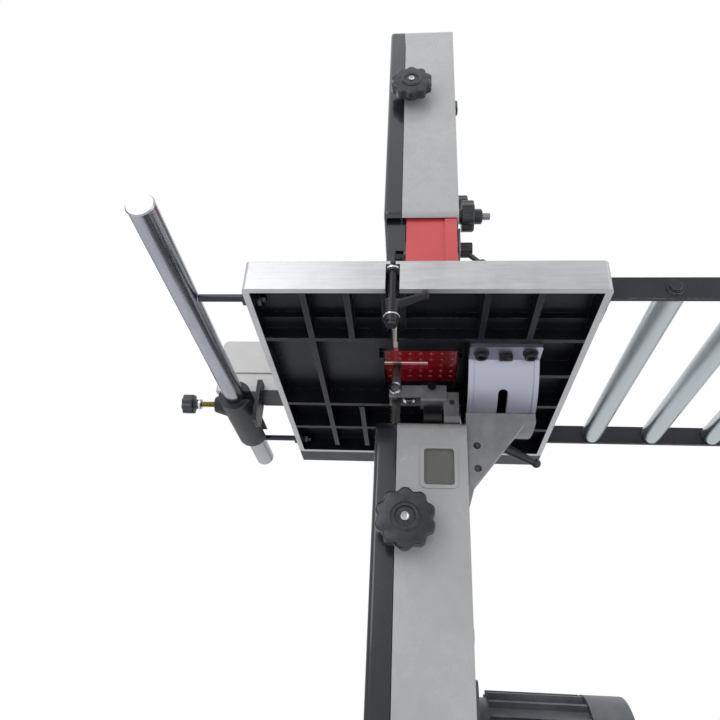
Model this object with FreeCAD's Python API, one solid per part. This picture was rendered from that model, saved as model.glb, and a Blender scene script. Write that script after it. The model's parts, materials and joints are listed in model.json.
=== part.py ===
"""Upright woodworking band saw on a cabinet stand, with a tilting cast table, a fence and a roller outfeed.

Millimetres. +Z is up, -Y is the front where the doors open, +X is the throat side where the table stands.
The origin is on the floor, at the centre of the four floor bolts.
"""
import FreeCAD, Part
import math
import os

os.makedirs("parts", exist_ok=True)

V = FreeCAD.Vector
X_AXIS = V(1, 0, 0)
Y_AXIS = V(0, 1, 0)
Z_AXIS = V(0, 0, 1)

# ---------------------------------------------------------------- driving dimensions

# band wheels and blade
WHEEL_DIAMETER = 350.0
WHEEL_WIDTH = 25.0
TYRE_THICKNESS = 4.0
LOWER_WHEEL_Z = 650.0
UPPER_WHEEL_Z = 1445.0
BLADE_WIDTH = 13.0
BLADE_THICKNESS = 0.7
BLADE_FRONT_Y = -40.0
AXLE_DIAMETER = 25.0
BEARING_DIAMETER = 52.0

# running and clearance gaps
RUNNING_GAP = 0.05
BODY_GAP = 0.3
COVER_GAP = 1.5

# wheel housings and doors, all in folded sheet
SHEET = 2.5
HOUSING_LEFT_MARGIN = 90.0
HOUSING_RIGHT_MARGIN = 30.0
HOUSING_SEAM_Y = -30.0
HOUSING_REAR_Y = 57.5
HOUSING_BEND_RADIUS = 14.0
DOOR_DEPTH = 28.0
LOWER_HOUSING_Z = (420.0, 877.0)
UPPER_HOUSING_Z = (1219.0, 1690.0)
SPINE_WIDTH = 100.0
SPINE_WALL = 4.0

# cabinet stand
CABINET_SIZE = (530.0, 400.0)
CABINET_HEIGHT = 414.0
CABINET_SHEET = 2.0
CABINET_PLATE = 6.0
FLOOR_BOLT_SPACING = (570.0, 340.0)
FLOOR_BOLT_HOLE = 11.0
FOOT_FLANGE = 40.0

# table
TABLE_LENGTH_X = 460.0
TABLE_WIDTH_Y = 400.0
TABLE_EDGE = 39.0
TABLE_TOP_Z = 980.0
TABLE_RIM = 8.0
RIB_WIDTH = 7.0
SPINE_BAR_WIDTH = 40.0
TABLE_RIGHT_OF_BLADE = 222.0
SLOT_WIDTH = 6.0
INSERT_HOLE = 6.0
INSERT_HOLE_PITCH = 15.3
MITRE_SLOT = (19.2, 9.5)

# trunnion under the table
TRUNNION_RADIUS = 93.0
TRUNNION_Y = (58.0, 145.0)

# fence and its round rail
RAIL_DIAMETER = 30.0
RAIL_LENGTH = 645.0
RAIL_STANDOFF = 75.0
RAIL_DROP = 24.0
RAIL_OVERHANG = 116.7
RAIL_STUD_DIAMETER = 9.0
FENCE_FACE_TO_BLADE = 102.0
FENCE_LIFT = 2.5
FENCE_HEIGHT = 92.0
FENCE_THICKNESS = 20.0
FENCE_LENGTH = 512.0

# roller extension behind the table
EXTENSION_LENGTH = 275.0
ROLLER_DIAMETER = 30.0
ROLLER_PITCH = 92.0
ROLLER_COUNT = 3
EXTENSION_BAR = (5.0, 30.0)

# derived places shared by several sections
WHEEL_RADIUS = WHEEL_DIAMETER / 2
BLADE_X = WHEEL_RADIUS + BODY_GAP
BLADE_Y = BLADE_FRONT_Y + BLADE_WIDTH / 2
TABLE_X1 = BLADE_X + TABLE_RIGHT_OF_BLADE
TABLE_X0 = TABLE_X1 - TABLE_LENGTH_X
TABLE_Y0 = -TABLE_WIDTH_Y / 2
TABLE_Y1 = TABLE_WIDTH_Y / 2
RIM_Z = TABLE_TOP_Z - TABLE_EDGE
RAIL_Y = TABLE_Y0 - RAIL_STANDOFF
RAIL_RIGHT_X = TABLE_X1 + RAIL_OVERHANG
HOUSING_LEFT_X = -WHEEL_RADIUS - HOUSING_LEFT_MARGIN
HOUSING_RIGHT_X = WHEEL_RADIUS + HOUSING_RIGHT_MARGIN
DOOR_FRONT_Y = HOUSING_SEAM_Y - DOOR_DEPTH
SPINE_X0 = HOUSING_LEFT_X
SPINE_X1 = HOUSING_LEFT_X + SPINE_WIDTH


# ---------------------------------------------------------------- shape helpers

def box(x0, x1, y0, y1, z0, z1):
    """Block between two corners."""
    return Part.makeBox(x1 - x0, y1 - y0, z1 - z0, V(x0, y0, z0))


def rod(radius, start, axis, length):
    """Round bar from start along axis."""
    return Part.makeCylinder(radius, length, V(*start), axis)


def tube(outer, inner, start, axis, length):
    """Round ring or pipe from start along axis."""
    return rod(outer, start, axis, length).cut(rod(inner, start, axis, length))


def cone(r0, r1, start, axis, length):
    """Taper from radius r0 to radius r1."""
    return Part.makeCone(r0, r1, length, V(*start), axis)


def hexagon(across, start, axis, length):
    """Hexagonal bar, as a bolt head or nut."""
    side = Part.makePolygon([_turn(across / math.sqrt(3), i * 60.0) for i in range(7)])
    solid = Part.Face(side).extrude(V(0, 0, length))
    solid.Placement = FreeCAD.Placement(V(*start), FreeCAD.Rotation(Z_AXIS, axis))
    return solid


def _turn(radius, degrees):
    angle = math.radians(degrees)
    return V(radius * math.cos(angle), radius * math.sin(angle), 0)


def lobed(radius, lobes, depth, start, axis, length):
    """Knob body with shallow finger hollows round its rim."""
    body = rod(radius, (0, 0, 0), Z_AXIS, length)
    for i in range(lobes):
        at = _turn(radius + depth * 1.2, (i + 0.5) * 360.0 / lobes)
        body = body.cut(rod(depth * 2.2, (at.x, at.y, -1), Z_AXIS, length + 2))
    body.Placement = FreeCAD.Placement(V(*start), FreeCAD.Rotation(Z_AXIS, axis))
    return body


def prism_y(points, y0, y1):
    """Outline given as (x, z) points, extruded along Y."""
    wire = Part.makePolygon([V(x, y0, z) for x, z in points + points[:1]])
    return Part.Face(wire).extrude(V(0, y1 - y0, 0))


def rounded_y(x0, x1, z0, z1, radius, y0, y1):
    """Block with its four edges along Y rounded."""
    block = box(x0, x1, y0, y1, z0, z1)
    edges = [e for e in block.Edges if abs(e.tangentAt(e.FirstParameter).y) > 0.99]
    return block.makeFillet(radius, edges)


def rounded(block, axis, radius):
    """Block with the edges that run along axis rounded."""
    edges = [e for e in block.Edges if abs(e.tangentAt(e.FirstParameter).dot(axis)) > 0.99]
    return block.makeFillet(radius, edges)


def fuse(*shapes):
    """One solid from pieces that meet."""
    whole = shapes[0]
    for shape in shapes[1:]:
        whole = whole.fuse(shape)
    return whole.removeSplitter()


def group(*shapes):
    """Separate solids kept in one node."""
    return Part.makeCompound(list(shapes))


def export(node, shape):
    """Write one node's solids."""
    shape.exportStep("parts/" + node + ".step")


# ---------------------------------------------------------------- cabinet stand

CABINET_X = (-CABINET_SIZE[0] / 2, CABINET_SIZE[0] / 2)
CABINET_Y = (-CABINET_SIZE[1] / 2, CABINET_SIZE[1] / 2)
CABINET_OPENING_INSET = 40.0
CABINET_HINGE_RADIUS = 4.0


def cabinet_opening():
    """Low and high corners of the front opening, as x0, x1, z0, z1."""
    inset = CABINET_OPENING_INSET
    return CABINET_X[0] + inset, CABINET_X[1] - inset, inset + CABINET_PLATE, CABINET_HEIGHT - inset


def make_cabinet_shell():
    x0, x1 = CABINET_X
    y0, y1 = CABINET_Y
    t = CABINET_SHEET
    outer = rounded(box(x0, x1, y0, y1, CABINET_PLATE, CABINET_HEIGHT), Z_AXIS, 12.0)
    inner = rounded(box(x0 + t, x1 - t, y0 + t, y1 - t, 0, CABINET_HEIGHT - t), Z_AXIS, 12.0 - t)
    shell = outer.cut(inner)
    ox0, ox1, oz0, oz1 = cabinet_opening()
    return shell.cut(rounded_y(ox0, ox1, oz0, oz1, 10.0, y0 - 1, y0 + t + 1))


def make_base_plate():
    reach_x = FLOOR_BOLT_SPACING[0] / 2 + FOOT_FLANGE / 2
    reach_y = FLOOR_BOLT_SPACING[1] / 2 + FOOT_FLANGE / 2
    plate = rounded(box(-reach_x, reach_x, -reach_y, reach_y, 0, CABINET_PLATE), Z_AXIS, 15.0)
    y0, y1 = CABINET_Y
    plate = plate.fuse(box(CABINET_X[0], CABINET_X[1], y0, y1, 0, CABINET_PLATE)).removeSplitter()
    for sx in (-1, 1):
        for sy in (-1, 1):
            at = (sx * FLOOR_BOLT_SPACING[0] / 2, sy * FLOOR_BOLT_SPACING[1] / 2, -1)
            plate = plate.cut(rod(FLOOR_BOLT_HOLE / 2, at, Z_AXIS, CABINET_PLATE + 2))
    return plate


def hinge_pin(x, y, z0, z1, radius):
    """Upright pin that a door turns on."""
    return rod(radius, (x, y, z0), Z_AXIS, z1 - z0)


def knuckles(x, y, spans, radius, pin_radius):
    """Upright hinge barrels, each with a running bore for the pin."""
    return [tube(radius, pin_radius + RUNNING_GAP, (x, y, a), Z_AXIS, b - a) for a, b in spans]


def cabinet_hinge_place():
    ox0, ox1, oz0, oz1 = cabinet_opening()
    return ox0 - 16.0, CABINET_Y[0] - CABINET_HINGE_RADIUS - 3.0


def cabinet_hinge_spans():
    ox0, ox1, oz0, oz1 = cabinet_opening()
    return [(oz0 + 30.0, oz0 + 80.0), (oz1 - 80.0, oz1 - 30.0)]


def make_cabinet_door():
    ox0, ox1, oz0, oz1 = cabinet_opening()
    y0 = CABINET_Y[0]
    gap = 1.0
    panel = rounded_y(ox0 - 8.0, ox1 + 12.0, oz0 - 12.0, oz1 + 12.0, 8.0, y0 - gap - 3.0, y0 - gap)
    hx, hy = cabinet_hinge_place()
    door = panel
    for a, b in cabinet_hinge_spans():
        leaf = box(hx, ox0 - 4.0, y0 - gap - 4.0, y0 - gap - 1.0, a + 14.0, b - 14.0)
        bore = rod(CABINET_HINGE_RADIUS, (hx, hy, a), Z_AXIS, b - a)
        barrel = knuckles(hx, hy, [(a + 14.0, b - 14.0)], CABINET_HINGE_RADIUS + 2.5,
                          CABINET_HINGE_RADIUS)[0]
        door = door.fuse(leaf.cut(bore.fuse(rod(CABINET_HINGE_RADIUS + RUNNING_GAP, (hx, hy, a), Z_AXIS,
                                                b - a))))
        door = door.fuse(barrel)
    handle_z = (oz0 + oz1) / 2
    grip = rounded_y(ox1 - 26.0, ox1 - 12.0, handle_z - 45.0, handle_z + 45.0, 6.0, y0 - gap - 22.0,
                     y0 - gap - 14.0)
    posts = [rod(5.0, (ox1 - 19.0, y0 - gap - 15.0, handle_z + s * 34.0), Y_AXIS, 13.0) for s in (-1, 1)]
    return fuse(door, grip, *posts)


def make_cabinet_hinges():
    hx, hy = cabinet_hinge_place()
    pieces = []
    for a, b in cabinet_hinge_spans():
        pin = hinge_pin(hx, hy, a, b, CABINET_HINGE_RADIUS)
        for c, d in ((a, a + 13.7), (b - 13.7, b)):
            barrel = rod(CABINET_HINGE_RADIUS + 2.5, (hx, hy, c), Z_AXIS, d - c)
            lug = box(hx - 2.0, hx + 2.0, hy, CABINET_Y[0], c, d)
            pin = pin.fuse(barrel).fuse(lug)
        pieces.append(pin.removeSplitter())
    return pieces


export("base_plate", make_base_plate())
export("cabinet_door", make_cabinet_door())


# ---------------------------------------------------------------- wheel housings, spine and doors

WINDOW_Y = (4.0, 41.0)
WINDOW_Z = (LOWER_HOUSING_Z[1] - 86.0, LOWER_HOUSING_Z[1] - 39.0)
WINDOW_FRAME = 4.5
DOOR_GAP = 1.0
DOOR_HINGE_RADIUS = 4.0
DOOR_HINGE_X = HOUSING_LEFT_X - 9.0
DOOR_HINGE_Y = HOUSING_SEAM_Y - 9.0
DUST_PORT_RADIUS = 50.0
DUST_PORT_X = -110.0
DUST_PORT_Z = 500.0
DUST_PORT_LENGTH = 45.0
GUARD_OPENING_X = (BLADE_X - 29.3, BLADE_X + 24.7)
MOTOR_X = -40.0
MOTOR_Z = 510.0
BLADE_SLOT_HALF = 9.0


def housing(z_range):
    """Open-fronted sheet box with rounded edges along Y."""
    z0, z1 = z_range
    outer = rounded_y(HOUSING_LEFT_X, HOUSING_RIGHT_X, z0, z1, HOUSING_BEND_RADIUS, HOUSING_SEAM_Y,
                      HOUSING_REAR_Y)
    t = SHEET
    inner = rounded_y(HOUSING_LEFT_X + t, HOUSING_RIGHT_X - t, z0 + t, z1 - t, HOUSING_BEND_RADIUS - t,
                      HOUSING_SEAM_Y - 1, HOUSING_REAR_Y - t)
    return outer.cut(inner)


def spine_slot(z0, z1):
    """Space where the spine passes through a housing's floor or roof."""
    return box(SPINE_X0 - 1, SPINE_X1, HOUSING_SEAM_Y - 1, HOUSING_REAR_Y - SHEET, z0, z1)


def blade_slot(x, z0, z1):
    """Space where the blade runs through a sheet."""
    half = BLADE_SLOT_HALF
    return box(x - half, x + half, BLADE_FRONT_Y - half, BLADE_FRONT_Y + BLADE_WIDTH + half, z0, z1)


def latch_hole(z):
    """Hole in the right wall for a door latch shaft."""
    return rod(LATCH_SHAFT_RADIUS + 1.0, (HOUSING_RIGHT_X - 6.0, LATCH_Y, z), X_AXIS, 12.0)


LATCH_SHAFT_RADIUS = 5.0
LATCH_Y = -18.0
LATCH_LOWER_Z = 741.0
LATCH_UPPER_Z = 1500.0


def make_lower_housing():
    z0, z1 = LOWER_HOUSING_Z
    shell = housing(LOWER_HOUSING_Z)
    shell = shell.cut(spine_slot(z1 - 20.0, z1 + 1))
    shell = shell.cut(blade_slot(BLADE_X, z1 - 20.0, z1 + 1))
    window = box(HOUSING_RIGHT_X - 5.0, HOUSING_RIGHT_X + 5.0, WINDOW_Y[0], WINDOW_Y[1], WINDOW_Z[0],
                 WINDOW_Z[1])
    window = rounded(window, X_AXIS, 4.0)
    frame = box(HOUSING_RIGHT_X - 1.0, HOUSING_RIGHT_X + 1.5, WINDOW_Y[0] - WINDOW_FRAME,
                WINDOW_Y[1] + WINDOW_FRAME,
                WINDOW_Z[0] - WINDOW_FRAME, WINDOW_Z[1] + WINDOW_FRAME)
    shell = shell.fuse(rounded(frame, X_AXIS, 7.0)).cut(window)
    shell = shell.cut(latch_hole(LATCH_LOWER_Z))
    port = rod(DUST_PORT_RADIUS - 3.0, (DUST_PORT_X, HOUSING_REAR_Y - 5, DUST_PORT_Z), Y_AXIS, 10.0)
    shell = shell.cut(port)
    shell = shell.cut(rod(16.0, (MOTOR_X + 90.0, HOUSING_REAR_Y - 5, MOTOR_Z), Y_AXIS, 10.0))
    shell = shell.cut(rod(BEARING_DIAMETER / 2 + 4.0, (0, HOUSING_REAR_Y - 5, LOWER_WHEEL_Z), Y_AXIS, 10.0))
    return shell.removeSplitter()


def make_upper_housing():
    z0, z1 = UPPER_HOUSING_Z
    shell = housing(UPPER_HOUSING_Z)
    shell = shell.cut(spine_slot(z0 - 1, z0 + 20.0))
    opening = box(GUARD_OPENING_X[0], GUARD_OPENING_X[1], HOUSING_SEAM_Y - 1, HOUSING_REAR_Y - SHEET - 0.5,
                  z0 - 1, z0 + 20)
    shell = shell.cut(opening)
    shell = shell.cut(latch_hole(LATCH_UPPER_Z))
    shell = shell.cut(rod(TENSION_SCREW_RADIUS + 1.5, (0, TENSION_Y, z1 - 10.0), Z_AXIS, 20.0))
    slot = rounded_y(-9.0, 9.0, TRACKING_Z - TENSION_TRAVEL - 9.0, TRACKING_Z + 9.0, 8.0,
                     HOUSING_REAR_Y - 5, HOUSING_REAR_Y + 5)
    shell = shell.cut(slot)
    shaft = rod(POST_SHAFT_RADIUS + 1.0, (PINION_X, HOUSING_REAR_Y - 5, POST_WHEEL_Z), Y_AXIS, 10.0)
    return shell.cut(shaft).removeSplitter()


TENSION_Y = 30.0
TENSION_TRAVEL = 12.0
TRACKING_Z = UPPER_WHEEL_Z - 16.0
TENSION_SCREW_RADIUS = 7.0
POST_SIZE = 22.0
POST_X0 = BLADE_X - 27.3
POST_Y0 = 12.0
POST_SHAFT_RADIUS = 6.0
POST_LOCK_RADIUS = 5.0
PINION_PITCH_RADIUS = 10.0
PINION_X = POST_X0 + POST_SIZE + PINION_PITCH_RADIUS
POST_WHEEL_Z = UPPER_HOUSING_Z[0] + 23.0
POST_LOCK_Z = UPPER_HOUSING_Z[0] - 27.0


def make_spine():
    y0, y1 = HOUSING_SEAM_Y + 14.0, HOUSING_REAR_Y - SHEET - 0.5
    t = SPINE_WALL
    x0, x1 = SPINE_X0 + SHEET + 0.5, SPINE_X1 - 0.5
    clear = HOUSING_BEND_RADIUS + 2.0
    outer = box(x0, x1, y0, y1, LOWER_HOUSING_Z[0] + clear, UPPER_HOUSING_Z[1] - clear)
    inner = box(x0 + t, x1 - t, y0 + t, y1 - t, LOWER_HOUSING_Z[0], UPPER_HOUSING_Z[1])
    return rounded(outer, Z_AXIS, 6.0).cut(rounded(inner, Z_AXIS, 2.0))


def make_blade_cover():
    """Folded channel in front of the spine round the blade's rising run."""
    z0, z1 = LOWER_HOUSING_Z[1] + 0.3, UPPER_HOUSING_Z[0] - 0.3
    outer = box(HOUSING_LEFT_X + 2, -WHEEL_RADIUS + 22.0, DOOR_FRONT_Y + 2, HOUSING_SEAM_Y + 14.0, z0, z1)
    inner = box(HOUSING_LEFT_X + 4, -WHEEL_RADIUS + 20.0, DOOR_FRONT_Y + 4, HOUSING_SEAM_Y + 15.0, z0 - 1,
                z1 + 1)
    return outer.cut(inner)


def door(z_range):
    """Door pan with a rounded outline, open at the back, and its hinge barrels."""
    z0, z1 = z_range
    y0, y1 = DOOR_FRONT_Y, HOUSING_SEAM_Y - DOOR_GAP
    t = SHEET
    outer = rounded_y(HOUSING_LEFT_X, HOUSING_RIGHT_X, z0, z1, HOUSING_BEND_RADIUS, y0, y1)
    outer = outer.makeFillet(6.0, [e for e in outer.Edges if e.BoundBox.YMax < y0 + 0.01])
    inner = rounded_y(HOUSING_LEFT_X + t, HOUSING_RIGHT_X - t, z0 + t, z1 - t, HOUSING_BEND_RADIUS - t,
                      y0 + t, y1 + 1)
    pan = outer.cut(inner)
    for a, b in door_hinge_spans(z_range):
        mid = (a + 14.0, b - 14.0)
        arm = box(DOOR_HINGE_X, HOUSING_LEFT_X + 1.0, DOOR_HINGE_Y - 2.0, DOOR_HINGE_Y + 2.0, mid[0], mid[1])
        pan = pan.fuse(arm.cut(rod(DOOR_HINGE_RADIUS + 1.0, (DOOR_HINGE_X, DOOR_HINGE_Y, a), Z_AXIS, b - a)))
        pan = pan.fuse(knuckles(DOOR_HINGE_X, DOOR_HINGE_Y, [mid], DOOR_HINGE_RADIUS + 2.5,
                                DOOR_HINGE_RADIUS)[0])
    return pan


def door_hinge_spans(z_range):
    z0, z1 = z_range
    return [(z0 + 60.0, z0 + 115.0), (z1 - 115.0, z1 - 60.0)]


def make_door_hinges():
    """Pins and fixed barrels of both wheel doors, welded to the housings' left wall."""
    pieces = []
    for z_range in (LOWER_HOUSING_Z, UPPER_HOUSING_Z):
        for a, b in door_hinge_spans(z_range):
            pin = hinge_pin(DOOR_HINGE_X, DOOR_HINGE_Y, a, b, DOOR_HINGE_RADIUS)
            for c, d in ((a, a + 13.7), (b - 13.7, b)):
                pin = pin.fuse(rod(DOOR_HINGE_RADIUS + 2.5, (DOOR_HINGE_X, DOOR_HINGE_Y, c), Z_AXIS, d - c))
                pin = pin.fuse(box(DOOR_HINGE_X - 2.0, DOOR_HINGE_X + 2.0, DOOR_HINGE_Y,
                                   HOUSING_SEAM_Y + 20.0, c, d))
                pin = pin.fuse(box(DOOR_HINGE_X, HOUSING_LEFT_X, HOUSING_SEAM_Y + 4.0,
                                   HOUSING_SEAM_Y + 20.0, c, d))
            pieces.append(pin.removeSplitter())
    return group(*pieces, *make_cabinet_hinges())


LATCH_TAB_DEPTH = 9.0


def latch_tab(z):
    """Tongue on a door that the latch cam grips, just inside the right wall."""
    x1 = HOUSING_RIGHT_X - SHEET - 1.0
    return box(x1 - 3.0, x1, DOOR_FRONT_Y + SHEET - 0.5, HOUSING_SEAM_Y + LATCH_TAB_DEPTH, z - 34.0,
               z - 14.0)


def make_lower_door():
    z1 = LOWER_HOUSING_Z[1]
    pan = door(LOWER_HOUSING_Z).cut(blade_slot(BLADE_X, z1 - 20.0, z1 + 1))
    pan = pan.cut(box(HOUSING_LEFT_X + 4, -WHEEL_RADIUS + 20.0, DOOR_FRONT_Y + 4, HOUSING_SEAM_Y, z1 - 20,
                      z1 + 1))
    return pan.fuse(latch_tab(LATCH_LOWER_Z)).removeSplitter()


def make_upper_door():
    z0 = UPPER_HOUSING_Z[0]
    pan = door(UPPER_HOUSING_Z)
    pan = pan.cut(box(HOUSING_LEFT_X + 4, -WHEEL_RADIUS + 20.0, DOOR_FRONT_Y + 4, HOUSING_SEAM_Y, z0 - 1,
                      z0 + 20))
    pan = pan.cut(box(GUARD_OPENING_X[0], GUARD_OPENING_X[1], DOOR_FRONT_Y + 5, HOUSING_SEAM_Y, z0 - 1,
                      z0 + 20))
    return pan.fuse(latch_tab(LATCH_UPPER_Z)).removeSplitter()


KNOB_RADIUS = 36.0
KNOB_STANDOFF = 14.0
KNOB_THICKNESS = 24.0


def latch_knob(z):
    """Large lobed knob, its shaft and a round friction cam inside the wall."""
    x = HOUSING_RIGHT_X + KNOB_STANDOFF
    head = lobed(KNOB_RADIUS, 10, 3.4, (x, LATCH_Y, z), X_AXIS, KNOB_THICKNESS)
    head = head.cut(rod(17.0, (x + KNOB_THICKNESS - 5.0, LATCH_Y, z), X_AXIS, 6.0))
    hub = rod(14.0, (HOUSING_RIGHT_X + 2.0, LATCH_Y, z), X_AXIS, KNOB_STANDOFF)
    shaft = rod(LATCH_SHAFT_RADIUS, (HOUSING_RIGHT_X - 12.0, LATCH_Y, z), X_AXIS, 14.0)
    cam = rod(11.0, (HOUSING_RIGHT_X - 12.0, LATCH_Y, z), X_AXIS, 7.0)
    return fuse(head, hub, shaft, cam)


def make_window_pane():
    x = HOUSING_RIGHT_X - SHEET - 2.0
    return box(x, x + 1.8, WINDOW_Y[0] - 3.0, WINDOW_Y[1] + 3.0, WINDOW_Z[0] - 3.0, WINDOW_Z[1] + 3.0)


def make_dust_port():
    x, z = DUST_PORT_X, DUST_PORT_Z
    pipe = tube(DUST_PORT_RADIUS, DUST_PORT_RADIUS - 2.5, (x, HOUSING_REAR_Y, z), Y_AXIS, DUST_PORT_LENGTH)
    flange = tube(DUST_PORT_RADIUS + 12.0, DUST_PORT_RADIUS - 2.5, (x, HOUSING_REAR_Y, z), Y_AXIS, 4.0)
    return fuse(pipe, flange)


FRAME_BOLT_X = (-135.0, 165.0)
FRAME_BOLT_Y = (-12.0, 40.0)


def make_frame_bolts():
    """Hexagon bolts that hold the lower housing on the cabinet, and the axle carriers."""
    bolts = []
    for x in FRAME_BOLT_X:
        for y in FRAME_BOLT_Y:
            z = LOWER_HOUSING_Z[0] + SHEET
            bolts.append(hexagon(13.0, (x, y, z), Z_AXIS, 5.3).fuse(rod(4.0, (x, y, CABINET_HEIGHT - 12.0),
                                                                        Z_AXIS, 20.0)))
    return group(*bolts)


def make_mounting_block():
    """Steel spacer plate between the cabinet top and the lower housing."""
    plate = box(-245.0, 190.0, -24.0, 52.0, CABINET_HEIGHT, LOWER_HOUSING_Z[0])
    return rounded(plate, Z_AXIS, 6.0)


def drill_for_bolts(shape):
    """Clearance for the frame bolts through a plate."""
    for x in FRAME_BOLT_X:
        for y in FRAME_BOLT_Y:
            shape = shape.cut(rod(4.0, (x, y, CABINET_HEIGHT - 20.0), Z_AXIS, 40.0))
    return shape


export("cabinet_shell", drill_for_bolts(make_cabinet_shell()))
export("mounting_block", drill_for_bolts(make_mounting_block()))
export("lower_housing", drill_for_bolts(make_lower_housing()))
export("spine_column", make_spine())
export("blade_cover", make_blade_cover())
export("door_hinges", make_door_hinges())
export("lower_door", make_lower_door())
export("upper_door", make_upper_door())
export("lower_door_knob", latch_knob(LATCH_LOWER_Z))
export("upper_door_knob", latch_knob(LATCH_UPPER_Z))
export("window_pane", make_window_pane())
export("dust_port", make_dust_port())
export("frame_bolts", make_frame_bolts())


# ---------------------------------------------------------------- band wheels, blade and drive

WHEEL_Y0 = BLADE_Y - WHEEL_WIDTH / 2
WHEEL_Y1 = BLADE_Y + WHEEL_WIDTH / 2
RIM_DEPTH = 12.0
HUB_RADIUS = 30.0
WEB_THICKNESS = 7.0
WEB_HOLES = 6
WHEEL_PULLEY_RADIUS = 75.0
PULLEY_WIDTH = 16.0
PULLEY_Y = WHEEL_Y1 + 4.0
MOTOR_PULLEY_RADIUS = 30.0
BELT_THICKNESS = 4.0
MOTOR_SHAFT_X = MOTOR_X + 90.0
MOTOR_RADIUS = 72.0
MOTOR_LENGTH = 185.0
MOTOR_SHAFT_RADIUS = 9.5


def loop(ends, gap_radii, thickness, y0, y1):
    """Closed band round two centres, each with its own inner radius."""
    (xa, za), (xb, zb) = ends
    solids = []
    for grow in (thickness, 0.0):
        ra, rb = gap_radii[0] + grow, gap_radii[1] + grow
        heading = math.atan2(zb - za, xb - xa)
        spread = math.acos((ra - rb) / math.hypot(xb - xa, zb - za))
        corners = []
        for x, z, r, side in ((xa, za, ra, 1), (xb, zb, rb, 1), (xb, zb, rb, -1), (xa, za, ra, -1)):
            angle = heading + side * spread
            corners.append((x + r * math.cos(angle), z + r * math.sin(angle)))
        body = prism_y(corners, y0, y1)
        body = body.fuse(rod(ra, (xa, y0, za), Y_AXIS, y1 - y0)).fuse(rod(rb, (xb, y0, zb), Y_AXIS, y1 - y0))
        solids.append(body.removeSplitter())
    return solids[0].cut(solids[1])


def band_wheel(z):
    """Cast wheel with a bored web, turning on its axle."""
    rim_radius = WHEEL_RADIUS - TYRE_THICKNESS
    rim = tube(rim_radius, rim_radius - RIM_DEPTH, (0, WHEEL_Y0, z), Y_AXIS, WHEEL_WIDTH)
    web = rod(rim_radius - RIM_DEPTH + 1.0, (0, BLADE_Y - WEB_THICKNESS / 2, z), Y_AXIS, WEB_THICKNESS)
    hub = rod(HUB_RADIUS, (0, WHEEL_Y0, z), Y_AXIS, WHEEL_WIDTH)
    wheel = fuse(rim, web, hub)
    for i in range(WEB_HOLES):
        at = _turn(98.0, i * 360.0 / WEB_HOLES + 30.0)
        wheel = wheel.cut(rod(30.0, (at.x, WHEEL_Y0, z + at.y), Y_AXIS, WHEEL_WIDTH))
    return wheel


def bored(wheel, z):
    return wheel.cut(rod(AXLE_DIAMETER / 2 + RUNNING_GAP, (0, WHEEL_Y0 - 1, z), Y_AXIS, WHEEL_WIDTH + 60))


def make_lower_wheel():
    pulley = rod(WHEEL_PULLEY_RADIUS, (0, PULLEY_Y, LOWER_WHEEL_Z), Y_AXIS, PULLEY_WIDTH)
    boss = rod(HUB_RADIUS, (0, WHEEL_Y0, LOWER_WHEEL_Z), Y_AXIS, WHEEL_WIDTH + 5.0)
    return bored(fuse(band_wheel(LOWER_WHEEL_Z), pulley, boss), LOWER_WHEEL_Z)


def tyre(z):
    rim_radius = WHEEL_RADIUS - TYRE_THICKNESS
    return tube(WHEEL_RADIUS, rim_radius, (0, WHEEL_Y0, z), Y_AXIS, WHEEL_WIDTH)


def make_lower_axle():
    """Fixed axle with its flange on the housing's back wall, a retaining washer and nut."""
    y = HOUSING_REAR_Y - SHEET
    shaft = rod(AXLE_DIAMETER / 2, (0, WHEEL_Y0 - 6.0, LOWER_WHEEL_Z), Y_AXIS, y - WHEEL_Y0 + 26.0)
    flange = rod(44.0, (0, y - 14.0, LOWER_WHEEL_Z), Y_AXIS, 14.0 - 0.01)
    washer = rod(20.0, (0, WHEEL_Y0 - 4.5, LOWER_WHEEL_Z), Y_AXIS, 4.0)
    nut = hexagon(36.0, (0, y + SHEET, LOWER_WHEEL_Z), Y_AXIS, 14.0)
    return fuse(shaft, flange, washer, nut)


def make_blade():
    ends = [(0, LOWER_WHEEL_Z), (0, UPPER_WHEEL_Z)]
    return loop(ends, (BLADE_X, BLADE_X), BLADE_THICKNESS, BLADE_FRONT_Y, BLADE_FRONT_Y + BLADE_WIDTH)


def make_drive_belt():
    ends = [(0, LOWER_WHEEL_Z), (MOTOR_SHAFT_X, MOTOR_Z)]
    radii = (WHEEL_PULLEY_RADIUS + BODY_GAP, MOTOR_PULLEY_RADIUS + BODY_GAP)
    return loop(ends, radii, BELT_THICKNESS, PULLEY_Y + 1.5, PULLEY_Y + PULLEY_WIDTH - 1.5)


def make_motor_pulley():
    at = (MOTOR_SHAFT_X, PULLEY_Y, MOTOR_Z)
    wheel = rod(MOTOR_PULLEY_RADIUS, at, Y_AXIS, PULLEY_WIDTH)
    shaft = rod(MOTOR_SHAFT_RADIUS, at, Y_AXIS, HOUSING_REAR_Y + 30.0 - PULLEY_Y)
    return fuse(wheel, shaft)


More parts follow.
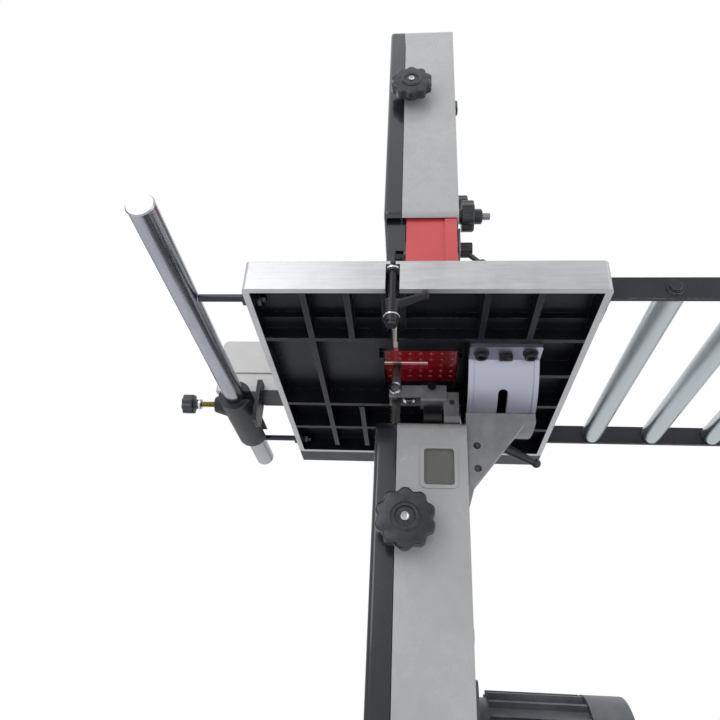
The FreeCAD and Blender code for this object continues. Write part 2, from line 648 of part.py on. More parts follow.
def make_motor():
    """Finned motor body on a face flange, with fan cover and terminal box."""
    x, y, z = MOTOR_SHAFT_X, HOUSING_REAR_Y, MOTOR_Z
    flange = rounded(box(x - 78.0, x + 78.0, y, y + 10.0, z - 78.0, z + 78.0), Y_AXIS, 16.0)
    body = rod(MOTOR_RADIUS - 8.0, (x, y + 9.0, z), Y_AXIS, MOTOR_LENGTH - 9.0)
    fins = []
    for i in range(20):
        angle = 360.0 / 20 * i
        fin = box(MOTOR_RADIUS - 10.0, MOTOR_RADIUS, 24.0, MOTOR_LENGTH - 48.0, -1.5, 1.5)
        fin.rotate(V(0, 0, 0), Y_AXIS, angle)
        fin.translate(V(x, y, z))
        fins.append(fin)
    cowl = tube(MOTOR_RADIUS, MOTOR_RADIUS - 2.0, (x, y + MOTOR_LENGTH - 44.0, z), Y_AXIS, 44.0)
    grille = rod(MOTOR_RADIUS, (x, y + MOTOR_LENGTH - 2.0, z), Y_AXIS, 2.5)
    collar = rod(MOTOR_RADIUS, (x, y + MOTOR_LENGTH - 46.0, z), Y_AXIS, 4.0)
    bore = rod(MOTOR_SHAFT_RADIUS + RUNNING_GAP, (x, y - 1, z), Y_AXIS, 34.0)
    terminal = rounded(box(x + 40.0, x + 104.0, y + 50.0, y + 130.0, z - 34.0, z + 34.0), X_AXIS, 8.0)
    gland = rod(9.0, (x + 84.0, y + 90.0, z - 46.0), Z_AXIS, 14.0)
    return fuse(flange, body, *fins, cowl, grille, collar, terminal, gland).cut(bore)


export("lower_wheel", make_lower_wheel())
export("upper_wheel", bored(band_wheel(UPPER_WHEEL_Z), UPPER_WHEEL_Z))
export("lower_tyre", tyre(LOWER_WHEEL_Z))
export("upper_tyre", tyre(UPPER_WHEEL_Z))
export("lower_axle", make_lower_axle())
export("blade", make_blade())
export("drive_belt", make_drive_belt())
export("motor_pulley", make_motor_pulley())
export("motor", make_motor())


# ---------------------------------------------------------------- blade tension and tracking

SLIDER_HALF = 33.0
SLIDER_Y = (0.0, 46.0)
SLIDER_Z = (UPPER_WHEEL_Z - 32.0, UPPER_WHEEL_Z + 34.0)
RAIL_THICKNESS = 12.0
SPRING_WIRE = 5.0
SPRING_RADIUS = 17.0
SPRING_TURNS = 6
TENSION_TOP_Z = SLIDER_Z[1] + 70.0
HANDWHEEL_RADIUS = 50.0
TRACKING_SHAFT_RADIUS = 6.0


def make_tension_frame():
    """Two upright ways and a crosshead, welded to the back wall."""
    y1 = HOUSING_REAR_Y - SHEET
    z0 = SLIDER_Z[0] - TENSION_TRAVEL - 8.0
    inner = SLIDER_HALF + BODY_GAP
    ways = [box(s * inner if s > 0 else -inner - RAIL_THICKNESS, inner + RAIL_THICKNESS if s > 0 else -inner,
                SLIDER_Y[0] + 6.0, y1, z0, TENSION_TOP_Z + 12.0) for s in (-1, 1)]
    head = box(-inner - 1.0, inner + 1.0, SLIDER_Y[0] + 6.0, y1, TENSION_TOP_Z, TENSION_TOP_Z + 12.0)
    head = head.cut(rod(TENSION_SCREW_RADIUS + BODY_GAP, (0, TENSION_Y, TENSION_TOP_Z - 1), Z_AXIS, 14.0))
    return fuse(*ways, head)


def make_axle_slider():
    """Sliding block with the upper wheel's axle pressed in."""
    block = box(-SLIDER_HALF, SLIDER_HALF, SLIDER_Y[0], SLIDER_Y[1], SLIDER_Z[0], SLIDER_Z[1])
    block = rounded(block, X_AXIS, 4.0)
    axle = rod(AXLE_DIAMETER / 2, (0, WHEEL_Y0 - 6.0, UPPER_WHEEL_Z), Y_AXIS,
               SLIDER_Y[0] + 10.0 - WHEEL_Y0 + 6.0)
    collar = rod(20.0, (0, WHEEL_Y1 + 0.5, UPPER_WHEEL_Z), Y_AXIS, SLIDER_Y[0] - WHEEL_Y1)
    washer = rod(20.0, (0, WHEEL_Y0 - 4.5, UPPER_WHEEL_Z), Y_AXIS, 4.0)
    whole = fuse(block, axle, collar, washer)
    screw = rod(TENSION_SCREW_RADIUS + BODY_GAP, (0, TENSION_Y, SLIDER_Z[1] - 30.0), Z_AXIS, 40.0)
    tracking = rod(TRACKING_SHAFT_RADIUS + RUNNING_GAP, (0, SLIDER_Y[1] - 14.0, TRACKING_Z), Y_AXIS, 20.0)
    return whole.cut(screw).cut(tracking)


def make_tension_spring():
    height = TENSION_TOP_Z - SLIDER_Z[1] - SPRING_WIRE - 1.0
    helix = Part.makeHelix(height / SPRING_TURNS, height, SPRING_RADIUS)
    profile = Part.Wire([Part.makeCircle(SPRING_WIRE / 2, V(SPRING_RADIUS, 0, 0), V(0, 1, 0))])
    spring = Part.Wire(helix.Edges).makePipeShell([profile], True, True)
    spring.translate(V(0, TENSION_Y, SLIDER_Z[1] + SPRING_WIRE / 2 + 0.5))
    return spring


def make_tension_handwheel():
    """Tension screw with its lobed handwheel above the roof."""
    top = UPPER_HOUSING_Z[1]
    bottom = SLIDER_Z[1] - 14.0
    screw = rod(TENSION_SCREW_RADIUS, (0, TENSION_Y, bottom), Z_AXIS, top + 22.0 - bottom)
    collar = rod(15.0, (0, TENSION_Y, top + COVER_GAP), Z_AXIS, 20.0)
    wheel = lobed(HANDWHEEL_RADIUS, 8, 5.0, (0, TENSION_Y, top + 18.0), Z_AXIS, 22.0)
    cap = rod(16.0, (0, TENSION_Y, top + 39.0), Z_AXIS, 5.0)
    return fuse(screw, collar, wheel, cap)


def make_tracking_knob():
    y = HOUSING_REAR_Y + 12.0
    z = TRACKING_Z
    shaft = rod(TRACKING_SHAFT_RADIUS, (0, SLIDER_Y[1] - 13.0, z), Y_AXIS, y - SLIDER_Y[1] + 15.0)
    knob = lobed(24.0, 7, 2.6, (0, y, z), Y_AXIS, 20.0)
    lock = rod(13.0, (0, HOUSING_REAR_Y + COVER_GAP, z), Y_AXIS, 7.0)
    return fuse(shaft, knob, lock)


export("upper_housing", fuse(make_upper_housing(), make_tension_frame()))
export("axle_slider", make_axle_slider())
export("tension_spring", make_tension_spring())
export("tension_handwheel", make_tension_handwheel())
export("tracking_knob", make_tracking_knob())


# ---------------------------------------------------------------- guide post, guards and blade guides

POST_BOTTOM_Z = 1166.0
POST_TOP_Z = 1452.0
SLEEVE_Z = (UPPER_HOUSING_Z[0] + 19.0, UPPER_HOUSING_Z[0] + 93.0)
PINION_RADIUS = PINION_PITCH_RADIUS - BODY_GAP
GUARD_BOTTOM_Z = 1138.0
GUARD_TOP_Z = 1290.0
GUARD_X = BLADE_X + 17.7
FORK_X = (BLADE_X - 15.3, BLADE_X + 13.7)
THRUST_RADIUS = 11.0
THRUST_WIDTH = 8.0
THRUST_Y = BLADE_FRONT_Y + BLADE_WIDTH + THRUST_RADIUS + BODY_GAP
SIDE_GUIDE_RADIUS = 5.0
SIDE_GUIDE_GAP = 0.35
UPPER_GUIDE_Z = 1152.0
LOWER_GUIDE_Z = 927.0


def guide_fork(z, block_z):
    """Casting that carries the two side guides and the thrust bearing's pin, with its block behind."""
    x0, x1 = FORK_X
    right = box(x1 - 5.0, x1, -42.0, 6.0, z - 8.0, z + 8.0)
    left = box(x0, x0 + 5.0, -42.0, 6.0, z - 8.0, z + 8.0)
    block = rounded(box(x0, x1, 0.0, POST_Y0 + POST_SIZE, block_z[0], block_z[1]), Y_AXIS, 3.0)
    pin = rod(3.0, (x0 + 4.0, THRUST_Y, z), X_AXIS, x1 - x0 - 8.0)
    return fuse(right, left, block, pin).cut(rod(SIDE_GUIDE_RADIUS, (150.0, BLADE_Y, z), X_AXIS, 50.0))


def side_guides(z):
    """Two guide rods that nearly touch the blade's sides, gripped in the fork."""
    gap = SIDE_GUIDE_GAP
    right = rod(SIDE_GUIDE_RADIUS, (BLADE_X + BLADE_THICKNESS + gap, BLADE_Y, z), X_AXIS, 17.0)
    left = rod(SIDE_GUIDE_RADIUS, (156.0, BLADE_Y, z), X_AXIS, BLADE_X - gap - 156.0)
    return right, left


def thrust_bearing(z):
    at = (BLADE_X + BLADE_THICKNESS / 2 - THRUST_WIDTH / 2, THRUST_Y, z)
    return tube(THRUST_RADIUS, 3.0 + RUNNING_GAP, at, X_AXIS, THRUST_WIDTH)


def make_guide_post():
    bar = box(POST_X0, POST_X0 + POST_SIZE, POST_Y0, POST_Y0 + POST_SIZE, POST_BOTTOM_Z, POST_TOP_Z)
    return rounded(bar, Z_AXIS, 2.0)


def make_post_sleeve():
    """Bracket bolted to the back wall, with a square bore for the post."""
    wall = 8.0
    g = 0.4
    y1 = HOUSING_REAR_Y - SHEET
    outer = box(POST_X0 - wall - 6.0, POST_X0 + POST_SIZE + g, POST_Y0 - wall, y1, SLEEVE_Z[0], SLEEVE_Z[1])
    bore = box(POST_X0 - g, POST_X0 + POST_SIZE + g + 1, POST_Y0 - g, POST_Y0 + POST_SIZE + g,
               SLEEVE_Z[0] - 1, SLEEVE_Z[1] + 1)
    foot = box(POST_X0 - 46.0, POST_X0 - wall - 5.0, y1 - 8.0, y1, SLEEVE_Z[0], SLEEVE_Z[1])
    sleeve = fuse(outer, foot).cut(bore)
    x, y = POST_X0 + POST_SIZE / 2, HOUSING_REAR_Y
    hanger = box(x - 16.0, x + 16.0, y, y + 3.5, POST_LOCK_Z - 16.0, UPPER_HOUSING_Z[0] + 4.0)
    hanger = rounded(hanger, Y_AXIS, 1.5).cut(rod(POST_LOCK_RADIUS + RUNNING_GAP, (x, y - 1, POST_LOCK_Z),
                                                  Y_AXIS, 6.0))
    return group(sleeve, hanger)


def make_blade_guard():
    """Telescoping red side guard: a flat cheek with a raised rear strip, on the guide post."""
    z0, z1 = GUARD_BOTTOM_Z, GUARD_TOP_Z
    cheek = box(GUARD_X, GUARD_X + 2.0, -23.0, 38.0, z0, z1)
    strip = box(GUARD_X + 3.5, GUARD_X + 5.5, 36.0, 54.0, z0, z1 - 20.0)
    joint = box(GUARD_X, GUARD_X + 5.5, 36.0, 38.0, z0, z1 - 20.0)
    web = box(FORK_X[1], GUARD_X + 1.0, 14.0, 30.0, POST_BOTTOM_Z - 16.0, POST_BOTTOM_Z - 4.0)
    tail = box(GUARD_X, GUARD_X + 4.0, 38.0, 54.0, z0, z0 + 2.0)
    return fuse(cheek, joint, strip, tail, web)


def make_blade_shield():
    """Black channel in front of the blade above the guides."""
    z0, z1 = GUARD_BOTTOM_Z + 26.0, GUARD_TOP_Z - 30.0
    low = GUARD_BOTTOM_Z + 4.0
    front = box(158.0, GUARD_X - 1.0, -52.0, -50.0, low, z1)
    side = box(GUARD_X - 3.0, GUARD_X - 1.0, -52.0, -24.0, z0, z1)
    side = side.fuse(box(GUARD_X - 3.0, GUARD_X - 1.0, -52.0, -39.5, low, z0))
    tie = box(POST_X0 + 8.0, GUARD_X - 1.0, -22.0, POST_Y0, z0 + 4.0, z0 + 7.0)
    tie = tie.cut(box(BLADE_X - 8.0, BLADE_X + 8.0, -30.0, -10.0, z0, z1))
    return fuse(front, side, tie)


def make_post_handwheel():
    """Rise and fall knob behind the upper housing, with its shaft and drive roller."""
    y = HOUSING_REAR_Y
    roller = rod(PINION_RADIUS, (PINION_X, POST_Y0 + 2.0, POST_WHEEL_Z), Y_AXIS, POST_SIZE - 4.0)
    shaft = rod(POST_SHAFT_RADIUS, (PINION_X, POST_Y0 + 2.0, POST_WHEEL_Z), Y_AXIS, y + 48.0 - POST_Y0)
    knob = lobed(25.5, 7, 3.0, (PINION_X, y + 5.0, POST_WHEEL_Z), Y_AXIS, 19.0)
    boss = rod(12.0, (PINION_X, y + COVER_GAP, POST_WHEEL_Z), Y_AXIS, 36.0)
    return fuse(roller, shaft, knob, boss)


def make_post_lock():
    """Fluted clamp knob with a ball-ended arm, below the upper housing's rear edge."""
    x = POST_X0 + POST_SIZE / 2
    y = HOUSING_REAR_Y + 3.5
    front = POST_Y0 + POST_SIZE + BODY_GAP
    shaft = rod(POST_LOCK_RADIUS, (x, front, POST_LOCK_Z), Y_AXIS, y + 6.0 - front)
    hub = lobed(12.0, 9, 1.2, (x, y + BODY_GAP, POST_LOCK_Z), Y_AXIS, 18.0)
    reach = V(0.0, 0.72, -0.69)
    root = V(x, y + 10.0, POST_LOCK_Z - 6.0)
    arm = cone(4.5, 3.5, (root.x, root.y, root.z), reach, 30.0)
    return fuse(shaft, hub, arm, Part.makeSphere(8.0, root + reach * 32.0))


def make_lower_guide_bracket():
    """Lower fork with the foot that bolts it to the housing's roof."""
    z = LOWER_GUIDE_Z
    fork = guide_fork(z, (z - 14.0, z + 10.0))
    top = LOWER_HOUSING_Z[1]
    column = box(178.0, 186.0, 30.0, 50.0, top, z)
    foot = box(160.0, 200.0, 30.0, 50.0, top, top + 8.0)
    fork = fork.cut(rod(7.0, (172.0, -1.0, z - 4.0), Y_AXIS, 60.0))
    return fuse(fork, column, foot)


def make_guide_adjuster():
    """Knurled wheel under the lower fork that sets the guide's depth."""
    wheel = rod(16.0, (172.0, 4.0, 895.0), Y_AXIS, 24.0)
    return wheel.cut(rod(5.0, (172.0, 3.0, 895.0), Y_AXIS, 4.0))


upper_block_z = (UPPER_GUIDE_Z - 10.0, POST_BOTTOM_Z)
export("guide_post", make_guide_post())
export("post_sleeve", make_post_sleeve())
export("blade_guard", make_blade_guard())
export("blade_shield", make_blade_shield())
export("upper_guide_fork", guide_fork(UPPER_GUIDE_Z, upper_block_z))
export("upper_side_guides", group(*side_guides(UPPER_GUIDE_Z)))
export("upper_thrust_bearing", thrust_bearing(UPPER_GUIDE_Z))
export("lower_guide_bracket", make_lower_guide_bracket())
export("lower_side_guides", group(*side_guides(LOWER_GUIDE_Z)))
export("lower_thrust_bearing", thrust_bearing(LOWER_GUIDE_Z))
export("guide_adjuster", make_guide_adjuster())
export("post_handwheel", make_post_handwheel())
export("post_lock", make_post_lock())


# ---------------------------------------------------------------- table

WEB_Z = TABLE_TOP_Z - 16.0
INSERT_RIGHT_X = BLADE_X + 38.0
INSERT_X = (INSERT_RIGHT_X - 88.0, INSERT_RIGHT_X)
INSERT_Y = (BLADE_Y - 19.0, BLADE_Y - 19.0 + 104.0)
INSERT_LEDGE = 5.0
INSERT_DEPTH = 6.0
INSERT_FIT = 0.4
INSERT_HOLLOW = 24.0
INSERT_RELIEF = (8.0, 9.5)
INSERT_LIP = 3.4
NOTCH_HALF = 7.8
SLOT_STUD_X = TABLE_X1 - 5.0
MITRE_X = BLADE_X + 128.7
LONG_RIBS = ((-133.5, 7.0, 430.0), (-84.5, 7.0, 100.0), (-84.5, 288.0, 430.0), (70.0, 7.0, 104.0),
             (127.0, 7.0, 104.0))
CROSS_RIBS = ((104.0, -196.0, 196.0), (280.0, -196.0, 196.0), (360.0, -196.0, 196.0), (191.0, 145.0, 196.0))
STUD_X = (TABLE_X1 - 38.0, TABLE_X1 - 440.0)
RAIL_Z = TABLE_TOP_Z - RAIL_DROP
FLANGE_BOLT_Y = (72.5, 131.5)
FLANGE_INNER = 80.0
FLANGE_OUTER = 112.0
BOLT_REACH = 98.5


def on_table(distance_from_right_edge):
    """X of a point measured inwards from the table's right edge."""
    return TABLE_X1 - distance_from_right_edge


def make_table():
    block = rounded(box(TABLE_X0, TABLE_X1, TABLE_Y0, TABLE_Y1, RIM_Z, TABLE_TOP_Z), Z_AXIS, 6.0)
    top = [e for e in block.Edges if e.BoundBox.ZMin > TABLE_TOP_Z - 0.01]
    block = block.makeChamfer(1.0, top)
    r = TABLE_RIM
    cavity = box(TABLE_X0 + r, TABLE_X1 - r, TABLE_Y0 + r, TABLE_Y1 - r, RIM_Z - 1, WEB_Z)
    pocket = rounded(cavity, Z_AXIS, 3.0)
    keep = []
    for y, b0, b1 in LONG_RIBS:
        keep.append(box(on_table(b1), on_table(b0), y - RIB_WIDTH / 2, y + RIB_WIDTH / 2, RIM_Z, WEB_Z + 1))
    for b, y0, y1 in CROSS_RIBS:
        x = on_table(b)
        keep.append(box(x - RIB_WIDTH / 2, x + RIB_WIDTH / 2, y0, y1, RIM_Z, WEB_Z + 1))
    keep.append(box(MITRE_X - 16.0, MITRE_X + 16.0, TABLE_Y0 + r, TABLE_Y1 - r, WEB_Z - 8.0, WEB_Z + 1))
    for side in (-1, 1):
        x0, x1 = sorted((BLADE_X + side * (FLANGE_INNER - 2.0), BLADE_X + side * (FLANGE_OUTER + 3.0)))
        keep.append(box(x0, x1, TRUNNION_Y[0], TRUNNION_Y[1], RIM_Z, WEB_Z + 1))
    for side in (-1, 1):
        keep.append(box(on_table(104.0), TABLE_X1 - r, BLADE_Y + side * 11.0 - 3.0,
                        BLADE_Y + side * 11.0 + 3.0, RIM_Z + 12.0, WEB_Z + 1))
    table = block.cut(pocket)
    for rib in keep:
        table = table.fuse(rib)
    table = table.cut(box(BLADE_X, TABLE_X1 + 1, BLADE_Y - SLOT_WIDTH / 2, BLADE_Y + SLOT_WIDTH / 2,
                          RIM_Z - 1, TABLE_TOP_Z + 1))
    table = table.cut(box(TABLE_X1 - 16.0, TABLE_X1 + 1, BLADE_Y - NOTCH_HALF, BLADE_Y + NOTCH_HALF,
                          RIM_Z - 1, TABLE_TOP_Z - 5.0))
    x0, x1 = INSERT_X
    y0, y1 = INSERT_Y
    seat = box(x0 - INSERT_FIT, x1 + INSERT_FIT, y0 - INSERT_FIT, y1 + INSERT_FIT,
               TABLE_TOP_Z - INSERT_DEPTH, TABLE_TOP_Z + 1)
    side_ledge = INSERT_LEDGE / 2
    through = box(x0 + INSERT_LEDGE, x1, y0 + side_ledge, y1 - side_ledge, RIM_Z - 1, TABLE_TOP_Z)
    hollow = box(x1 - 1, x1 + INSERT_HOLLOW, y0 - 3.0, y1 + 3.0, WEB_Z - 0.5, TABLE_TOP_Z - INSERT_DEPTH)
    table = table.cut(rounded(seat, Z_AXIS, 3.0)).cut(through).cut(hollow)
    width, depth = MITRE_SLOT
    table = table.cut(box(MITRE_X - width / 2, MITRE_X + width / 2, TABLE_Y0 - 1, TABLE_Y1 + 1,
                          TABLE_TOP_Z - depth, TABLE_TOP_Z + 1))
    for x in STUD_X:
        table = table.cut(rod(RAIL_STUD_DIAMETER / 2, (x, TABLE_Y0 - 1, RAIL_Z), Y_AXIS, TABLE_RIM + 2))
    for side in (-1, 1):
        for y in FLANGE_BOLT_Y:
            table = table.cut(rod(5.0, (BLADE_X + side * BOLT_REACH, y, RIM_Z - 1), Z_AXIS, 18.0))
    return table.removeSplitter()


def make_table_insert():
    """Perforated plate round the blade, dropped into the table's seat."""
    x0, x1 = INSERT_X
    y0, y1 = INSERT_Y
    plate = box(x0, x1, y0, y1, TABLE_TOP_Z - INSERT_DEPTH, TABLE_TOP_Z - 0.3)
    plate = rounded(plate, Z_AXIS, 3.0)
    plate = plate.cut(box(BLADE_X - 3.4, BLADE_X + 4.8, y0 - 1, y0 + 62.0, TABLE_TOP_Z - 9.0,
                          TABLE_TOP_Z + 1))
    left, right = INSERT_RELIEF
    plate = plate.cut(box(BLADE_X - left, BLADE_X + right, y0 - 1, y0 + 62.0, TABLE_TOP_Z - 9.0,
                          TABLE_TOP_Z - INSERT_LIP))
    middle = (INSERT_Y[0] + INSERT_Y[1]) / 2
    for i in range(-3, 4):
        for j in range(-2, 3):
            if j == 0 and i < 2:
                continue
            at = (BLADE_X + j * INSERT_HOLE_PITCH, middle + i * INSERT_HOLE_PITCH * 0.93, TABLE_TOP_Z - 9.0)
            plate = plate.cut(rod(INSERT_HOLE / 2, at, Z_AXIS, 12.0))
    return plate




def make_table_fasteners():
    """Flange bolts with washers, the tilt pointer and the rail stud nuts' partners."""
    pieces = []
    flange_bottom = RIM_Z - FLANGE_THICKNESS
    for side in (-1, 1):
        for y in FLANGE_BOLT_Y:
            x = BLADE_X + side * BOLT_REACH
            washer = rod(9.5, (x, y, flange_bottom - 1.6), Z_AXIS, 1.6)
            head = hexagon(16.0, (x, y, flange_bottom - 7.6), Z_AXIS, 6.0)
            pieces.append(fuse(washer, head, rod(5.0, (x, y, flange_bottom - 2.0), Z_AXIS, 17.0)))
    pointer = box(BLADE_X + FLANGE_INNER + 12.0, BLADE_X + FLANGE_INNER + 22.0, 98.0, 109.0,
                  flange_bottom - 8.0, flange_bottom)
    pieces.append(rounded(pointer, X_AXIS, 1.5))
    return group(*pieces)


FLANGE_THICKNESS = 5.0


def make_slot_clamp():
    """Clamping lever under the blade slot's mouth: washer, stud, hub and arm."""
    x, y = SLOT_STUD_X, BLADE_Y
    washer = rod(7.0, (x, y, TABLE_TOP_Z - 13.0), Z_AXIS, 2.5)
    nut = rod(5.5, (x, y, TABLE_TOP_Z - 11.0), Z_AXIS, 4.0)
    stud = rod(4.8, (x, y, RIM_Z - 16.0), Z_AXIS, TABLE_EDGE + 4.0)
    hub = cone(9.0, 7.5, (x, y, RIM_Z - 14.0), V(0, 0, -1), 26.0)
    cap = rod(6.0, (x, y, RIM_Z - 44.0), Z_AXIS, 5.0)
    reach = V(0.05, 1.0, 0.36)
    arm = cone(5.5, 4.0, (x, y, RIM_Z - 19.0), reach, 38.0)
    reach.normalize()
    tip = Part.makeSphere(5.0, V(x, y, RIM_Z - 19.0) + reach * 38.0)
    return fuse(washer, nut, stud, hub, cap, arm, tip)


export("table", make_table())
export("table_insert", make_table_insert())
export("table_fasteners", make_table_fasteners())
export("slot_clamp", make_slot_clamp())


# ---------------------------------------------------------------- trunnion

DRUM_WALL = 7.0
DRUM_GROOVE_INSET = 6.0
DRUM_GROOVE_WIDTH = 1.6
DRUM_GROOVE_DEPTH = 1.2
LOCK_ANGLE = -105.0
LOCK_STUD_RADIUS = 5.0
LOCK_HEAD_RADIUS = 9.0
LOCK_Y = 102.0
LOCK_HUB_RADIUS = 10.0
LOCK_HUB_LENGTH = 19.0
LOCK_LEVER_SLOPE = 26.0
LOCK_LEVER_LENGTH = 56.0
TILT_RANGE = (-10.0, 45.0)
SLOT_MARGIN = 5.0
SADDLE_WALL = 11.0
SADDLE_RIGHT = 25.0
SADDLE_LEFT = -65.0
SADDLE_LEDGE = 10.0
GUSSET_BOTTOM_Z = 793.0
GUSSET_WIDTH = 14.0


def tilt_axis_rod(radius, y0, y1):
    return rod(radius, (BLADE_X, y0, TABLE_TOP_Z), Y_AXIS, y1 - y0)


def wedge(low, high, y0, y1, reach):
    """Pie slice about the tilt axis between two angles."""
    steps = 8
    points = [(BLADE_X, TABLE_TOP_Z)]
    for i in range(steps + 1):
        angle = math.radians(low + (high - low) * i / steps)
        points.append((BLADE_X + reach * math.cos(angle), TABLE_TOP_Z + reach * math.sin(angle)))
    return prism_y(points, y0, y1)


def make_trunnion_drum():
    y0, y1 = TRUNNION_Y[0] + 0.5, TRUNNION_Y[1]
    ring = tilt_axis_rod(TRUNNION_RADIUS, y0, y1).cut(tilt_axis_rod(TRUNNION_RADIUS - DRUM_WALL, y0, y1))
    below = box(BLADE_X - 100, BLADE_X + 100, y0, y1, TABLE_TOP_Z - 100, RIM_Z)
    drum = ring.common(below)
    for side in (-1, 1):
        x0, x1 = sorted((BLADE_X + side * (FLANGE_INNER - 4.0), BLADE_X + side * FLANGE_OUTER))
        flange = rounded(box(x0, x1, y0, y1, RIM_Z - FLANGE_THICKNESS, RIM_Z), Z_AXIS, 3.0)
        drum = drum.fuse(flange)
    cheek = tilt_axis_rod(TRUNNION_RADIUS - 1.0, y1 - 6.0, y1).common(below)
    drum = drum.fuse(cheek)
    half = LOCK_STUD_RADIUS + 1.0
    slot = wedge(LOCK_ANGLE + TILT_RANGE[0] - SLOT_MARGIN, LOCK_ANGLE + TILT_RANGE[1] + SLOT_MARGIN,
                 LOCK_Y - half, LOCK_Y + half, TRUNNION_RADIUS + 8.0)
    slot = slot.cut(tilt_axis_rod(TRUNNION_RADIUS - DRUM_WALL - 3.0, y0, y1))
    for end in (LOCK_ANGLE + TILT_RANGE[0] - SLOT_MARGIN, LOCK_ANGLE + TILT_RANGE[1] + SLOT_MARGIN):
        angle = math.radians(end)
        outward = V(math.cos(angle), 0, math.sin(angle))
        start = V(BLADE_X, LOCK_Y, TABLE_TOP_Z) + outward * (TRUNNION_RADIUS - DRUM_WALL - 4.0)
        slot = slot.fuse(Part.makeCylinder(half, DRUM_WALL + 8.0, start, outward))
    drum = drum.cut(slot)
    for y in (y0 + DRUM_GROOVE_INSET, y1 - DRUM_GROOVE_INSET - DRUM_GROOVE_WIDTH):
        band = tilt_axis_rod(TRUNNION_RADIUS + 2.0, y, y + DRUM_GROOVE_WIDTH)
        core = tilt_axis_rod(TRUNNION_RADIUS - DRUM_GROOVE_DEPTH, y, y + DRUM_GROOVE_WIDTH)
        groove = band.cut(core).common(box(BLADE_X - 100, BLADE_X + 100, y0, y1, TABLE_TOP_Z - 100,
                                           RIM_Z - FLANGE_THICKNESS))
        drum = drum.cut(groove)
    for side in (-1, 1):
        for y in FLANGE_BOLT_Y:
            drum = drum.cut(rod(5.0, (BLADE_X + side * BOLT_REACH, y, RIM_Z - 8.0), Z_AXIS, 9.0))
    return drum.removeSplitter()


def lock_direction():
    angle = math.radians(LOCK_ANGLE)
    return V(math.cos(angle), 0, math.sin(angle))


def lock_point(distance):
    """Point on the lock stud at a distance from the tilt axis."""
    return V(BLADE_X, LOCK_Y, TABLE_TOP_Z) + lock_direction() * distance


def make_trunnion_bracket():
    """Saddle that carries the drum, with its ledge, gussets and back plate on the housing's rear wall."""
    y0, y1 = HOUSING_REAR_Y, TRUNNION_Y[1]
    bore = TRUNNION_RADIUS + BODY_GAP
    low = TABLE_TOP_Z - bore - SADDLE_WALL
    x0, x1 = BLADE_X + SADDLE_LEFT, BLADE_X + SADDLE_RIGHT
    saddle = tilt_axis_rod(bore + SADDLE_WALL, y0, y1).common(box(x0, x1, y0, y1, low, TABLE_TOP_Z - 66.0))
    ledge_z = TABLE_TOP_Z - 89.0
    ledge = box(x1 - 14.0, x1, y0, y1, ledge_z - SADDLE_LEDGE, ledge_z)
    back = box(x0, x1, y0, y0 + 8.0, GUSSET_BOTTOM_Z, low + 3.0)
    bracket = fuse(saddle, ledge, back)
    x = x1 - GUSSET_WIDTH
    outline = [V(x, y0, ledge_z - 4.0), V(x, y1 - 6.0, ledge_z - 4.0), V(x, y0 + 8.0, GUSSET_BOTTOM_Z),
               V(x, y0, GUSSET_BOTTOM_Z)]
    outline.append(outline[0])
    gusset = Part.Face(Part.makePolygon(outline)).extrude(V(GUSSET_WIDTH, 0, 0))
    bracket = bracket.fuse(gusset)
    bracket = bracket.cut(tilt_axis_rod(bore, y0 - 1, y1 + 1))
    stud = Part.makeCylinder(LOCK_STUD_RADIUS + RUNNING_GAP, 60.0, lock_point(TRUNNION_RADIUS - 13.0),
                             lock_direction())
    return bracket.cut(stud).removeSplitter()


def make_trunnion_lock():
    """Stud with a round inner head, and a clamp lever below the saddle."""
    direction = lock_direction()
    head_end = math.sqrt((TRUNNION_RADIUS - DRUM_WALL) ** 2 - LOCK_HEAD_RADIUS ** 2) - BODY_GAP
    head = Part.makeCylinder(LOCK_HEAD_RADIUS, 5.0, lock_point(head_end - 5.0), direction)
    stud = Part.makeCylinder(LOCK_STUD_RADIUS, 44.0, lock_point(head_end - 1.0), direction)
    hub_foot = TRUNNION_RADIUS + SADDLE_WALL + 2.0
    hub = Part.makeCylinder(LOCK_HUB_RADIUS, LOCK_HUB_LENGTH, lock_point(hub_foot), direction)
    slope = math.radians(LOCK_LEVER_SLOPE)
    reach = Y_AXIS * math.cos(slope) + direction * math.sin(slope)
    root = lock_point(hub_foot + 7.0)
    arm = Part.makeCone(LOCK_HUB_RADIUS - 3.0, 4.8, LOCK_LEVER_LENGTH, root, reach)
    tip = Part.makeSphere(6.0, root + reach * LOCK_LEVER_LENGTH)
    return fuse(head, stud, hub, arm, tip)


export("trunnion_drum", make_trunnion_drum())
export("trunnion_bracket", make_trunnion_bracket())
export("trunnion_lock", make_trunnion_lock())


# ---------------------------------------------------------------- fence and rail

SLEEVE_RADIUS = 24.0
FENCE_X1 = BLADE_X - FENCE_FACE_TO_BLADE
FENCE_X0 = FENCE_X1 - FENCE_THICKNESS
SLEEVE_X = (FENCE_X1 - 98.3, FENCE_X1 + 38.7)
KNOB_X = FENCE_X1 + 6.7
FENCE_Y0 = TABLE_Y0 - 118.0
FENCE_Z0 = TABLE_TOP_Z + FENCE_LIFT
RAIL_RADIUS = RAIL_DIAMETER / 2
PLATE_Y = RAIL_Y + 27.0


